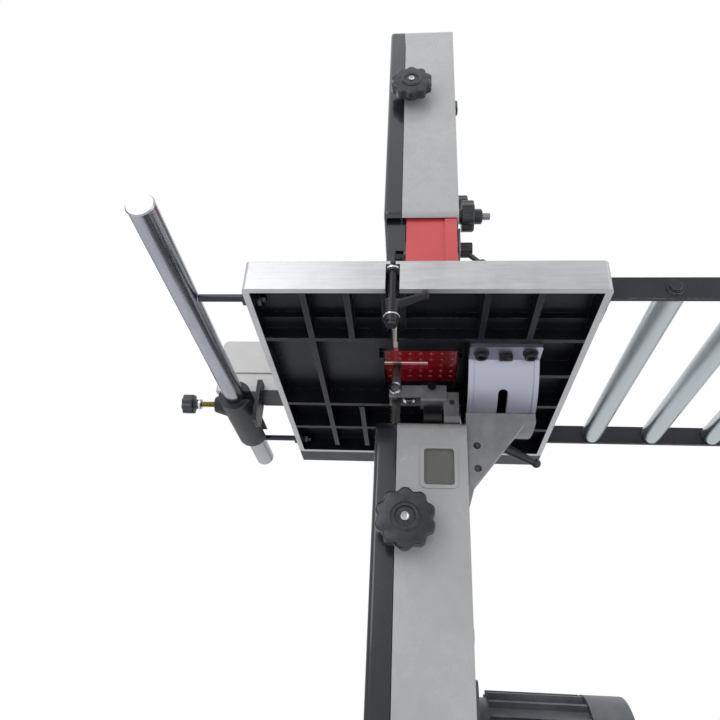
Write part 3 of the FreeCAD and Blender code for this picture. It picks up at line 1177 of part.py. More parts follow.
def make_fence_rail():
    """Round rail with the two threaded studs and nuts that hold it off the table's front edge."""
    bar = rod(RAIL_RADIUS, (RAIL_RIGHT_X - RAIL_LENGTH, RAIL_Y, RAIL_Z), X_AXIS, RAIL_LENGTH)
    rim_ends = [e for e in bar.Edges if e.Curve.TypeId == "Part::GeomCircle"]
    rail = bar.makeChamfer(1.5, rim_ends)
    for x in STUD_X:
        rail = rail.fuse(rod(RAIL_STUD_DIAMETER / 2, (x, RAIL_Y + 5.0, RAIL_Z), Y_AXIS,
                             TABLE_Y0 + TABLE_RIM + 12.0 - RAIL_Y - 5.0))
        rail = rail.fuse(hexagon(15.0, (x, TABLE_Y0 - 7.0, RAIL_Z), Y_AXIS, 7.0))
        rail = rail.fuse(hexagon(15.0, (x, TABLE_Y0 + TABLE_RIM, RAIL_Z), Y_AXIS, 7.0))
    return rail.removeSplitter()


def make_fence_carrier():
    """Cast sleeve sliding on the rail, open on the table side to pass the studs, with the fence arm."""
    x0, x1 = SLEEVE_X
    sleeve = rod(SLEEVE_RADIUS, (x0, RAIL_Y, RAIL_Z), X_AXIS, x1 - x0)
    boss = cone(20.0, 12.0, (KNOB_X, RAIL_Y - 10.0, RAIL_Z), V(0, -1, 0), 26.0)
    neck = box(FENCE_X0 - 4.0, FENCE_X1 + 10.0, RAIL_Y - 4.0, PLATE_Y + 3.0, RAIL_Z + 9.0, RAIL_Z + 22.0)
    plate = rounded(box(FENCE_X0 + 6.0, FENCE_X1 + 24.0, PLATE_Y, PLATE_Y + 6.0, RAIL_Z - 30.0,
                        FENCE_Z0 + 12.0), Y_AXIS, 8.0)
    slot = box(FENCE_X0 - BODY_GAP, FENCE_X1 + BODY_GAP, PLATE_Y - 1, PLATE_Y + 7.0, FENCE_Z0 - 0.01,
               FENCE_Z0 + 20.0)
    arm = box(FENCE_X0 - 2.0, FENCE_X1 + 6.0, PLATE_Y + 5.0, TABLE_Y0 - 5.0, FENCE_Z0 - 13.0, FENCE_Z0)
    carrier = fuse(sleeve, boss, neck, plate, arm).cut(slot)
    bore = rod(RAIL_RADIUS + RUNNING_GAP + 0.03, (x0 - 1, RAIL_Y, RAIL_Z), X_AXIS, x1 - x0 + 2)
    mouth = box(x0 - 1, x1 + 1, RAIL_Y, RAIL_Y + SLEEVE_RADIUS + 1, RAIL_Z - 7.0, RAIL_Z + 7.0)
    plate_keep = plate.cut(rod(SLEEVE_RADIUS + 1, (x0 - 50, RAIL_Y, RAIL_Z), X_AXIS,
                               x1 - x0 + 100)).cut(slot)
    carrier = carrier.cut(bore).cut(mouth).fuse(plate_keep)
    screw = rod(5.0 + RUNNING_GAP, (KNOB_X, RAIL_Y - 60.0, RAIL_Z), Y_AXIS, 60.0 - RAIL_RADIUS + 2.0)
    return carrier.cut(screw).removeSplitter()


def make_fence_knob():
    y = RAIL_Y - 60.0
    screw = rod(5.0, (KNOB_X, y, RAIL_Z), Y_AXIS, 60.0 - RAIL_RADIUS - BODY_GAP)
    collar = rod(9.0, (KNOB_X, y - 2.0, RAIL_Z), Y_AXIS, 10.0)
    head = lobed(17.0, 7, 2.2, (KNOB_X, y - 26.0, RAIL_Z), Y_AXIS, 25.0)
    return fuse(screw, collar, head)


def make_fence_beam():
    """Aluminium extrusion with a groove along its face and a rounded front corner."""
    y1 = FENCE_Y0 + FENCE_LENGTH
    beam = box(FENCE_X0, FENCE_X1, FENCE_Y0, y1, FENCE_Z0, FENCE_Z0 + FENCE_HEIGHT)
    along_x = [e for e in beam.Edges if abs(e.tangentAt(e.FirstParameter).x) > 0.99]
    corner = [e for e in along_x if e.BoundBox.ZMin > FENCE_Z0 + 10]
    beam = beam.makeFillet(9.0, corner)
    groove = box(FENCE_X1 - 3.0, FENCE_X1 + 1, FENCE_Y0 - 1, y1 + 1, FENCE_Z0 + 30.0, FENCE_Z0 + 34.0)
    beam = beam.cut(groove)
    for a, b in ((4.0, 27.0), (37.0, FENCE_HEIGHT - 8.0)):
        beam = beam.cut(box(FENCE_X0 + 3.0, FENCE_X1 - 3.5, FENCE_Y0 - 1, y1 + 1, FENCE_Z0 + a,
                            FENCE_Z0 + b))
    caps = []
    for y in (FENCE_Y0 + 2.0, y1 - 6.0):
        for a, b in ((4.0, 27.0), (37.0, FENCE_HEIGHT - 8.0)):
            caps.append(box(FENCE_X0 + 2.5, FENCE_X1 - 3.0, y, y + 4.0, FENCE_Z0 + a - 0.5,
                            FENCE_Z0 + b + 0.5))
    return fuse(beam, *caps)


export("fence_rail", make_fence_rail())
export("fence_carrier", make_fence_carrier())
export("fence_knob", make_fence_knob())
export("fence_beam", make_fence_beam())


# ---------------------------------------------------------------- roller extension

BAR_X = (TABLE_X1 - 32.0, TABLE_X1 - 425.0)
BAR_Z = (TABLE_TOP_Z - 30.0, TABLE_TOP_Z - 1.0)
ROLLER_Y0 = TABLE_Y1 + 75.0
ROLLER_Z = TABLE_TOP_Z - ROLLER_DIAMETER / 2
ROLLER_AXLE_RADIUS = 4.0
BAR_FLANGE = 44.0


def roller_y(i):
    return ROLLER_Y0 + i * ROLLER_PITCH


def make_side_bars():
    """Two extension bars with bolted feet, roller axles and the flat bar on the table's spine-side edge."""
    thick, height = EXTENSION_BAR
    z0, z1 = BAR_Z
    near, far = BAR_X
    pieces = []
    for x, inward in ((near, -1), (far, 1)):
        x0, x1 = x - thick / 2, x + thick / 2
        bar = rounded(box(x0, x1, TABLE_Y1, TABLE_Y1 + EXTENSION_LENGTH, z0, z1), X_AXIS, 4.0)
        fx0, fx1 = sorted((x - inward * thick / 2, x + inward * BAR_FLANGE))
        foot = box(fx0, fx1, TABLE_Y1, TABLE_Y1 + thick, z0, z1)
        part = bar.fuse(foot)
        for reach in (16.0, 34.0):
            part = part.fuse(hexagon(10.0, (x + inward * reach, TABLE_Y1 + thick, (z0 + z1) / 2), Y_AXIS,
                                     5.0))
        for i in range(ROLLER_COUNT):
            head = rod(6.5, (x1 if inward < 0 else x0 - 4.0, roller_y(i), ROLLER_Z), X_AXIS, 4.0)
            washer = rod(10.0, (x1 if inward < 0 else x0 - 1.5, roller_y(i), ROLLER_Z), X_AXIS, 1.5)
            part = part.fuse(head).fuse(washer)
        pieces.append(part)
    frame = fuse(*pieces)
    for i in range(ROLLER_COUNT):
        axle = rod(ROLLER_AXLE_RADIUS, (far, roller_y(i), ROLLER_Z), X_AXIS, near - far)
        frame = frame.fuse(axle)
    side = box(TABLE_X0 - SPINE_BAR_WIDTH, TABLE_X0, TABLE_Y0, TABLE_Y1, RIM_Z, RIM_Z + 8.0)
    upstand = box(TABLE_X0 - 6.0, TABLE_X0, TABLE_Y0, TABLE_Y1, RIM_Z, TABLE_TOP_Z - 3.0)
    return group(frame.removeSplitter(), fuse(side, upstand))


def make_roller(i):
    """Steel tube with an end disc at each end, free on its axle."""
    thick = EXTENSION_BAR[0]
    x0 = BAR_X[1] + thick / 2 + 1.0
    x1 = BAR_X[0] - thick / 2 - 1.0
    radius = ROLLER_DIAMETER / 2
    barrel = tube(radius, radius - 2.0, (x0, roller_y(i), ROLLER_Z), X_AXIS, x1 - x0)
    discs = [tube(radius - 1.0, ROLLER_AXLE_RADIUS + RUNNING_GAP, (x, roller_y(i), ROLLER_Z), X_AXIS,
                  8.0) for x in (x0, x1 - 8.0)]
    return fuse(barrel, *discs)


export("side_bars", make_side_bars())
for index in range(ROLLER_COUNT):
    export("roller_" + str(index + 1), make_roller(index))


# ---------------------------------------------------------------- switch

SWITCH_X = (-245.0, -175.0)
SWITCH_Z = (1050.0, 1160.0)
SWITCH_DEPTH = 36.0
BUTTON_RADIUS = 11.0
START_Z = 1132.0
STOP_Z = 1086.0


def make_switch_box():
    y1 = DOOR_FRONT_Y + 2.0
    case = rounded(box(SWITCH_X[0], SWITCH_X[1], y1 - SWITCH_DEPTH, y1, SWITCH_Z[0], SWITCH_Z[1]), Y_AXIS,
                   8.0)
    x = (SWITCH_X[0] + SWITCH_X[1]) / 2
    for z, r in ((START_Z, BUTTON_RADIUS), (STOP_Z, BUTTON_RADIUS + 4.0)):
        case = case.cut(rod(r + 0.5, (x, y1 - SWITCH_DEPTH - 1, z), Y_AXIS, 14.0))
    return case


def make_button(z, radius, stand):
    """Round push button set in the switch box's face."""
    y = DOOR_FRONT_Y + 2.0 - SWITCH_DEPTH
    x = (SWITCH_X[0] + SWITCH_X[1]) / 2
    cap = rod(radius, (x, y - stand, z), Y_AXIS, stand + 8.0)
    return cap.makeFillet(1.5, [e for e in cap.Edges if e.BoundBox.YMax < y - stand + 0.01])


export("switch_box", make_switch_box())
export("start_button", make_button(START_Z, BUTTON_RADIUS, 4.0))
export("stop_button", make_button(STOP_Z, BUTTON_RADIUS + 4.0, 8.0))
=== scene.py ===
"""Looks of an upright woodworking band saw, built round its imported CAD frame."""

import json
import math

import bmesh
import bpy
from mathutils import Matrix, Vector

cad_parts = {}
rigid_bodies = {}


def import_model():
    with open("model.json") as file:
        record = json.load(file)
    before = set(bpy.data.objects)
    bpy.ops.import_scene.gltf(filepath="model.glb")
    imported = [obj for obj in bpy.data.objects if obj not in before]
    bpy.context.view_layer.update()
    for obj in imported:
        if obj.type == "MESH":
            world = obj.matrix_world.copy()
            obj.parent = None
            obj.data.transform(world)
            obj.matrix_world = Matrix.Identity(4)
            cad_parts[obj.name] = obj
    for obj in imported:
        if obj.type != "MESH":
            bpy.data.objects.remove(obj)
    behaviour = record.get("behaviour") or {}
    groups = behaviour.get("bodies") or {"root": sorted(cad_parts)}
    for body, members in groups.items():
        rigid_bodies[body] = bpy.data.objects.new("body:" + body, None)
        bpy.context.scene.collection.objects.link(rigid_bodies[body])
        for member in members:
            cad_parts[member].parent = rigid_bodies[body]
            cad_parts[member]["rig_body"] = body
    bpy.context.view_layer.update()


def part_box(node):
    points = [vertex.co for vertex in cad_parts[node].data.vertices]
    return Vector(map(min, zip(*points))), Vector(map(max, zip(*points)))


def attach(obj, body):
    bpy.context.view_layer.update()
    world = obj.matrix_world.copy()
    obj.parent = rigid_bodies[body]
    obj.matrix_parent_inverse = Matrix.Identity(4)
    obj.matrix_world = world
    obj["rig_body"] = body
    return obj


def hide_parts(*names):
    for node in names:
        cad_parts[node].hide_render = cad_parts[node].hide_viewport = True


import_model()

MM = 0.001


def mm(value):
    """Millimetres to metres."""
    return value * MM


def spot(x, y, z):
    """Point given in millimetres."""
    return Vector((mm(x), mm(y), mm(z)))


# ---------------------------------------------------------------- shader tools

class Shader:
    """A material or group tree with short calls to add and join nodes."""

    def __init__(self, tree):
        self.tree = tree

    def node(self, kind, values=None, **settings):
        made = self.tree.nodes.new(kind)
        for key, value in settings.items():
            setattr(made, key, value)
        for key, value in (values or {}).items():
            self.put(made.inputs[key], value)
        return made

    def put(self, socket, value):
        if isinstance(value, bpy.types.NodeSocket):
            self.tree.links.new(value, socket)
        else:
            socket.default_value = value

    def math(self, operation, first, second=0.5, third=0.5):
        made = self.node("ShaderNodeMath", operation=operation)
        for socket, value in zip(made.inputs, (first, second, third)):
            self.put(socket, value)
        return made.outputs[0]

    def span(self, value, low, high, out_low=0.0, out_high=1.0):
        made = self.node("ShaderNodeMapRange", {"Value": value, "From Min": low, "From Max": high,
                                                "To Min": out_low, "To Max": out_high})
        return made.outputs["Result"]

    def mix(self, share, first, second):
        made = self.node("ShaderNodeMix", data_type="RGBA")
        self.put(made.inputs[0], share)
        self.put(made.inputs[6], first)
        self.put(made.inputs[7], second)
        return made.outputs[2]

    def noise(self, vector, scale, detail=3.0, roughness=0.55):
        made = self.node("ShaderNodeTexNoise", {"Vector": vector, "Scale": scale, "Detail": detail,
                                                "Roughness": roughness})
        return made.outputs["Fac"]

    def place(self):
        """Object coordinates, in metres from the machine's origin."""
        return self.node("ShaderNodeTexCoord").outputs["Object"]

    def group(self, name, values=None):
        made = self.node("ShaderNodeGroup", node_tree=bpy.data.node_groups[name])
        for key, value in (values or {}).items():
            self.put(made.inputs[key], value)
        return made


def effect_group(name, inputs, outputs):
    """An empty shader node group with named sockets, and its tools, entry and exit nodes."""
    tree = bpy.data.node_groups.new(name, "ShaderNodeTree")
    for label, kind, value in inputs:
        made = tree.interface.new_socket(name=label, in_out="INPUT", socket_type="NodeSocket" + kind)
        made.default_value = value
    for label, kind in outputs:
        tree.interface.new_socket(name=label, in_out="OUTPUT", socket_type="NodeSocket" + kind)
    tools = Shader(tree)
    return tools, tools.node("NodeGroupInput").outputs, tools.node("NodeGroupOutput").inputs


def build_paint_skin():
    """Sprayed enamel: fine orange peel, cloudy gloss and faint colour drift."""
    s, given, out = effect_group("paint_skin", [("Peel Scale", "Float", 900.0), ("Peel Depth", "Float", 0.3)],
                                 [("Height", "Float"), ("Cloud", "Float")])
    at = s.place()
    peel = s.noise(at, given["Peel Scale"], 2.0)
    s.put(out["Height"], s.math("MULTIPLY", peel, given["Peel Depth"]))
    broad = s.noise(at, 9.0, 4.0)
    fine = s.noise(at, 60.0, 3.0)
    s.put(out["Cloud"], s.math("MULTIPLY_ADD", fine, 0.35, s.math("MULTIPLY", broad, 0.65)))


def build_metal_lines():
    """Grinding or drawing marks: noise stretched along one direction."""
    s, given, out = effect_group("metal_lines",
                                 [("Stretch", "Vector", (1.0, 1.0, 1.0)), ("Density", "Float", 900.0)],
                                 [("Lines", "Float"), ("Patches", "Float")])
    coords = s.place()
    stretched = s.node("ShaderNodeVectorMath", operation="MULTIPLY")
    s.put(stretched.inputs[0], coords)
    s.put(stretched.inputs[1], given["Stretch"])
    s.put(out["Lines"], s.noise(stretched.outputs[0], given["Density"], 3.0, 0.6))
    s.put(out["Patches"], s.noise(coords, 14.0, 4.0))


def build_edge_wear():
    """Mask that is high on convex edges, broken up by noise."""
    s, given, out = effect_group("edge_wear", [("Radius", "Float", 0.0012), ("Amount", "Float", 0.5)],
                                 [("Wear", "Float")])
    bevel = s.node("ShaderNodeBevel", {"Radius": given["Radius"]}, samples=4)
    true = s.node("ShaderNodeNewGeometry").outputs["Normal"]
    dot = s.node("ShaderNodeVectorMath", operation="DOT_PRODUCT")
    s.put(dot.inputs[0], bevel.outputs[0])
    s.put(dot.inputs[1], true)
    edge = s.span(dot.outputs["Value"], 0.995, 0.86)
    rough = s.span(s.noise(s.place(), 130.0, 4.0), 0.42, 0.62)
    s.put(out["Wear"], s.math("MULTIPLY", s.math("MULTIPLY", edge, rough), given["Amount"]))


def build_dust_film():
    """Fine sawdust that settles on faces that look up."""
    s, given, out = effect_group("dust_film", [("Amount", "Float", 0.3)], [("Dust", "Float")])
    normal = s.node("ShaderNodeNewGeometry").outputs["Normal"]
    up = s.node("ShaderNodeSeparateXYZ", {0: normal}).outputs["Z"]
    facing = s.span(up, 0.55, 1.0)
    drift = s.span(s.noise(s.place(), 22.0, 6.0, 0.65), 0.35, 0.75)
    s.put(out["Dust"], s.math("MULTIPLY", s.math("MULTIPLY", facing, drift), given["Amount"]))


def build_casting_skin():
    """Sand-cast surface under paint: soft lumps and pits."""
    s, given, out = effect_group("casting_skin", [("Grain", "Float", 420.0)],
                                 [("Height", "Float"), ("Tone", "Float")])
    at = s.place()
    lumps = s.noise(at, given["Grain"], 4.0, 0.6)
    waves = s.noise(at, 45.0, 3.0)
    s.put(out["Height"], s.math("MULTIPLY_ADD", waves, 0.5, lumps))
    s.put(out["Tone"], s.noise(at, 30.0, 5.0, 0.6))


for build in (build_paint_skin, build_metal_lines, build_edge_wear, build_dust_film, build_casting_skin):
    build()


def new_material(name, **constants):
    """A material with a Principled shader, whose constant sockets are set directly."""
    made = bpy.data.materials.new(name)
    made.use_nodes = True
    s = Shader(made.node_tree)
    shader = made.node_tree.nodes["Principled BSDF"]
    for key, value in constants.items():
        shader.inputs[key.replace("_", " ").title().replace("Ior", "IOR")].default_value = value
    return made, s, shader


def bump(s, shader, height, distance):
    """Drive the shader's normal from a height and how many metres it stands for."""
    made = s.node("ShaderNodeBump", {"Height": height, "Distance": distance})
    s.put(shader.inputs["Normal"], made.outputs["Normal"])


def rgba(red, green, blue):
    """Opaque linear colour."""
    return (red, green, blue, 1.0)


def shade(colour, gain, lift=0.0):
    """Colour made darker or lighter, and no brighter than white."""
    return rgba(*(min(1.0, channel * gain + lift) for channel in colour[:3]))


DUST = rgba(0.62, 0.52, 0.40)


def enamel(name, colour, roughness, coat=0.0, peel=0.3, wear=0.35, under=rgba(0.32, 0.32, 0.33),
           dust=0.15):
    """Sprayed enamel on steel or cast iron."""
    made, s, shader = new_material(name, coat_weight=coat, coat_roughness=0.08)
    skin = s.group("paint_skin", {"Peel Depth": peel})
    tone = s.mix(s.span(skin.outputs["Cloud"], 0.3, 0.7), shade(colour, 0.82), colour)
    worn = s.group("edge_wear", {"Amount": wear}).outputs["Wear"]
    # Worn edges take the under colour: bare metal through worn paint on most parts, and a painted glow of
    # light on the table insert.
    tone = s.mix(worn, tone, under)
    film = s.group("dust_film", {"Amount": dust}).outputs["Dust"]
    s.put(shader.inputs["Base Color"], s.mix(film, tone, DUST))
    rough = s.span(skin.outputs["Cloud"], 0.3, 0.7, roughness * 0.85, roughness * 1.2)
    s.put(shader.inputs["Roughness"], s.math("ADD", rough, s.math("MULTIPLY", film, 0.4)))
    bump(s, shader, skin.outputs["Height"], 0.00012)
    return made


def line_share(s, lines, weight):
    """Blend of the fine lines and the broad patches of the metal_lines group."""
    patches = s.math("MULTIPLY", lines.outputs["Patches"], 1.0 - weight)
    return s.math("MULTIPLY_ADD", lines.outputs["Lines"], weight, patches)


def bare_metal(name, colour, roughness, stretch, depth=0.00003, density=900.0, dust=0.05, dark=0.82):
    """Ground, drawn or polished metal with lines along one direction."""
    made, s, shader = new_material(name, metallic=1.0)
    lines = s.group("metal_lines", {"Stretch": stretch, "Density": density})
    share = line_share(s, lines, 0.5)
    tone = s.mix(s.span(share, 0.3, 0.68), shade(colour, dark), colour)
    film = s.group("dust_film", {"Amount": dust}).outputs["Dust"]
    s.put(shader.inputs["Base Color"], s.mix(film, tone, DUST))
    s.put(shader.inputs["Metallic"], s.math("SUBTRACT", 1.0, film))
    s.put(shader.inputs["Roughness"], s.span(share, 0.25, 0.75, roughness * 0.7, roughness * 1.35))
    bump(s, shader, lines.outputs["Lines"], depth)
    return made


def moulded(name, colour, roughness, grain=700.0, depth=0.00008):
    """Moulded plastic or rubber with a fine spark texture and slight scuffs."""
    made, s, shader = new_material(name)
    at = s.place()
    spark = s.noise(at, grain, 2.0)
    scuff = s.noise(at, 55.0, 5.0, 0.65)
    tone = s.mix(s.span(scuff, 0.45, 0.8), colour, shade(colour, 1.7, 0.012))
    film = s.group("dust_film", {"Amount": 0.12}).outputs["Dust"]
    s.put(shader.inputs["Base Color"], s.mix(film, tone, DUST))
    s.put(shader.inputs["Roughness"], s.span(scuff, 0.3, 0.8, roughness * 0.85, roughness * 1.25))
    bump(s, shader, spark, depth)
    return made


# ---------------------------------------------------------------- finishes

PLATE_THICK = mm(4.5)
TABLE_RIM = mm(8.0)
PAINT_EDGE = mm(0.2)
RAIL_DIAMETER = mm(30.0)
STUD_GAP = mm(0.3)
TOOTH_TINT = (mm(5.2), mm(2.2))
STRAW_TINT = (mm(6.6), mm(4.6))


def two_tone_table():
    """Cast iron table: ground top, milled sides and rim, blue-black enamel in the underside pockets."""
    made, s, shader = new_material("table_iron", specular_ior_level=0.2)
    cast = s.group("casting_skin")
    lines = s.group("metal_lines", {"Stretch": (1.0, 0.05, 1.0), "Density": 520.0})
    worn = s.group("edge_wear", {"Amount": 0.55, "Radius": 0.0015}).outputs["Wear"]
    coords = s.place()
    at = s.node("ShaderNodeSeparateXYZ", {0: coords}).outputs
    low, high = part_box("table")
    edge = TABLE_RIM - PAINT_EDGE
    inside = s.math("MULTIPLY", s.math("GREATER_THAN", at["X"], low.x + edge),
                    s.math("LESS_THAN", at["X"], high.x - edge))
    inside = s.math("MULTIPLY", inside, s.math("GREATER_THAN", at["Y"], low.y + edge))
    inside = s.math("MULTIPLY", inside, s.math("LESS_THAN", at["Y"], high.y - edge))
    painted = s.math("MULTIPLY", inside, s.math("LESS_THAN", at["Z"], high.z - PLATE_THICK))
    share = line_share(s, lines, 0.55)
    milled = s.mix(s.span(share, 0.3, 0.7), rgba(0.41, 0.41, 0.42), rgba(0.56, 0.56, 0.57))
    stain = s.span(s.noise(coords, 17.0, 6.0, 0.7), 0.5, 0.72)
    milled = s.mix(s.math("MULTIPLY", stain, 0.35), milled, rgba(0.31, 0.305, 0.305))
    enamel_tone = s.mix(s.span(cast.outputs["Tone"], 0.35, 0.65), rgba(0.0048, 0.0053, 0.0072),
                        rgba(0.0085, 0.0092, 0.0122))
    enamel_tone = s.mix(worn, enamel_tone, rgba(0.13, 0.135, 0.15))
    s.put(shader.inputs["Base Color"], s.mix(painted, milled, enamel_tone))
    s.put(shader.inputs["Metallic"], s.math("MULTIPLY", s.math("SUBTRACT", 1.0, painted), 0.75))
    bare_rough = s.span(share, 0.25, 0.75, 0.27, 0.44)
    enamel_rough = s.span(cast.outputs["Tone"], 0.3, 0.7, 0.27, 0.40)
    gap = s.math("SUBTRACT", enamel_rough, bare_rough)
    s.put(shader.inputs["Roughness"], s.math("MULTIPLY_ADD", gap, painted, bare_rough))
    height = s.math("MULTIPLY_ADD", s.math("MULTIPLY", cast.outputs["Height"], painted), 5.0,
                    lines.outputs["Lines"])
    bump(s, shader, height, 0.00007)
    return made


def cast_enamel(name, colour, roughness, wear=0.5, lift=1.5, shine=0.5):
    """Satin enamel over a sand casting."""
    made, s, shader = new_material(name, specular_ior_level=shine)
    cast = s.group("casting_skin")
    worn = s.group("edge_wear", {"Amount": wear, "Radius": 0.0014}).outputs["Wear"]
    tone = s.mix(s.span(cast.outputs["Tone"], 0.35, 0.65), colour, shade(colour, lift))
    tone = s.mix(worn, tone, rgba(0.30, 0.31, 0.34))
    film = s.group("dust_film", {"Amount": 0.12}).outputs["Dust"]
    s.put(shader.inputs["Base Color"], s.mix(film, tone, DUST))
    rough = s.span(cast.outputs["Tone"], 0.3, 0.7, roughness * 0.85, roughness * 1.2)
    s.put(shader.inputs["Roughness"], rough)
    bump(s, shader, cast.outputs["Height"], 0.0002)
    return made


def blade_steel():
    """Spring steel band: fine lengthways grind and a blued, tempered tooth edge."""
    made, s, shader = new_material("blade_steel", metallic=1.0)
    lines = s.group("metal_lines", {"Stretch": (1.0, 1.0, 0.03), "Density": 1600.0})
    coords = s.place()
    across = s.node("ShaderNodeSeparateXYZ", {0: coords}).outputs["Y"]
    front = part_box("blade")[0].y
    tooth = s.span(across, *(front + depth for depth in TOOTH_TINT))
    straw = s.span(across, *(front + depth for depth in STRAW_TINT))
    tone = s.mix(lines.outputs["Lines"], rgba(0.13, 0.13, 0.135), rgba(0.22, 0.22, 0.23))
    tone = s.mix(s.math("MULTIPLY", straw, 0.5), tone, rgba(0.42, 0.33, 0.20))
    tone = s.mix(s.math("MULTIPLY", tooth, 0.7), tone, rgba(0.16, 0.17, 0.22))
    s.put(shader.inputs["Base Color"], tone)
    s.put(shader.inputs["Roughness"], s.span(lines.outputs["Lines"], 0.3, 0.7, 0.2, 0.38))
    bump(s, shader, lines.outputs["Lines"], 0.00002)
    return made


def window_plastic():
    """Clear tinted pane with a dusty haze."""
    made, s, shader = new_material("window_plastic", transmission_weight=0.85, ior=1.49)
    at = s.place()
    haze = s.span(s.noise(at, 30.0, 6.0, 0.7), 0.35, 0.8)
    s.put(shader.inputs["Base Color"], s.mix(haze, rgba(0.62, 0.64, 0.60), rgba(0.50, 0.49, 0.42)))
    s.put(shader.inputs["Roughness"], s.span(haze, 0.0, 1.0, 0.05, 0.32))
    return made


def rail_steel():
    """Polished round rail with draw marks along it, and blackened studs towards the table."""
    made, s, shader = new_material("rail_steel", metallic=1.0)
    lines = s.group("metal_lines", {"Stretch": (0.03, 1.0, 1.0), "Density": 800.0})
    coords = s.place()
    across = s.node("ShaderNodeSeparateXYZ", {0: coords}).outputs["Y"]
    stud_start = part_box("fence_rail")[0].y + RAIL_DIAMETER + STUD_GAP
    stud = s.math("GREATER_THAN", across, stud_start)
    share = line_share(s, lines, 0.6)
    polished = s.mix(s.span(share, 0.3, 0.7), rgba(0.27, 0.28, 0.325), rgba(0.44, 0.45, 0.49))
    s.put(shader.inputs["Base Color"], s.mix(stud, polished, rgba(0.045, 0.047, 0.060)))
    s.put(shader.inputs["Roughness"], s.span(share, 0.25, 0.75, 0.13, 0.24))
    bump(s, shader, lines.outputs["Lines"], 0.00001)
    return made


def build_materials():
    """Every finish on the machine, by the short name used for nodes and pieces."""
    upright_lines = (1.0, 1.0, 0.2)
    return {
        "housing": enamel("housing_enamel", rgba(0.40, 0.40, 0.402), 0.26, coat=0.35, peel=0.2),
        "frame": enamel("frame_enamel", rgba(0.33, 0.33, 0.335), 0.36, coat=0.1),
        "door": enamel("door_enamel", rgba(0.013, 0.0145, 0.019), 0.24, coat=0.55, wear=0.25,
                       under=rgba(0.16, 0.165, 0.18)),
        "cabinet": enamel("cabinet_enamel", rgba(0.36, 0.36, 0.362), 0.32, coat=0.25),
        "guard": enamel("guard_enamel", rgba(0.58, 0.060, 0.068), 0.30, coat=0.35, wear=0.45,
                        under=rgba(0.75, 0.42, 0.40)),
        # The insert's bright pink worn-edge colour is painted light: a painted glow of light coming through
        # its holes and slot, laid on its edges by the edge-wear mask.
        "insert": enamel("insert_anodised", rgba(0.30, 0.006, 0.012), 0.22, coat=0.2, peel=0.1, wear=0.5,
                         under=rgba(0.85, 0.35, 0.38), dust=0.3),
        "table": two_tone_table(),
        "cast_dark": cast_enamel("cast_enamel_dark", rgba(0.014, 0.0152, 0.019), 0.38, shine=0.28),
        "cast_grey": cast_enamel("cast_enamel_grey", rgba(0.165, 0.165, 0.172), 0.38),
        "cast_bare": bare_metal("cast_milled", rgba(0.46, 0.46, 0.49), 0.36, (0.06, 1.0, 1.0), 0.00005,
                                600.0),
        "drum": bare_metal("drum_turned", rgba(0.45, 0.455, 0.54), 0.40, (1.0, 0.06, 1.0), 0.00003, 700.0,
                           0.05, 0.93),
        "black_steel": cast_enamel("black_oxide", rgba(0.008, 0.008, 0.009), 0.30, 0.4, shine=0.3),
        "bright": bare_metal("bright_steel", rgba(0.34, 0.35, 0.385), 0.20, (1.0, 1.0, 0.04), 0.00002,
                             1100.0),
        "rail": rail_steel(),
        "chrome": bare_metal("chrome_plate", rgba(0.62, 0.62, 0.64), 0.09, (0.2, 1.0, 1.0), 0.00001, 800.0),
        "zinc": bare_metal("zinc_plate", rgba(0.40, 0.41, 0.43), 0.30, upright_lines, 0.00003),
        "dull_steel": bare_metal("turned_steel", rgba(0.30, 0.305, 0.33), 0.34, (1.0, 0.1, 1.0), 0.00004),
        "brass": bare_metal("plated_brass", rgba(0.55, 0.42, 0.20), 0.26, (0.1, 1.0, 1.0), 0.00003),
        "aluminium": enamel("fence_silver", rgba(0.50, 0.50, 0.49), 0.34, coat=0.1, peel=0.15, wear=0.2),
        "roller": bare_metal("roller_tube", rgba(0.52, 0.56, 0.585), 0.30, (0.05, 1.0, 1.0), 0.00001, 500.0,
                             0.05, 0.94),
        "wheel": cast_enamel("wheel_casting", rgba(0.30, 0.30, 0.31), 0.42, 0.3, 1.2),
        "blade": blade_steel(),
        "knob": moulded("knob_phenolic", rgba(0.016, 0.017, 0.021), 0.28),
        "plastic": moulded("black_plastic", rgba(0.013, 0.013, 0.015), 0.40),
        "tyre": moulded("tyre_rubber", rgba(0.055, 0.052, 0.050), 0.62, 500.0, 0.00012),
        "belt": moulded("belt_rubber", rgba(0.018, 0.018, 0.018), 0.66, 500.0, 0.00012),
        "green": moulded("start_button_plastic", rgba(0.02, 0.22, 0.06), 0.26),
        "red": moulded("stop_button_plastic", rgba(0.50, 0.010, 0.012), 0.26),
        "motor": cast_enamel("motor_enamel", rgba(0.075, 0.080, 0.090), 0.42, 0.4),
        "window": window_plastic(),
        "spring": bare_metal("spring_steel", rgba(0.35, 0.35, 0.36), 0.30, upright_lines, 0.00003),
    }


finish = build_materials()

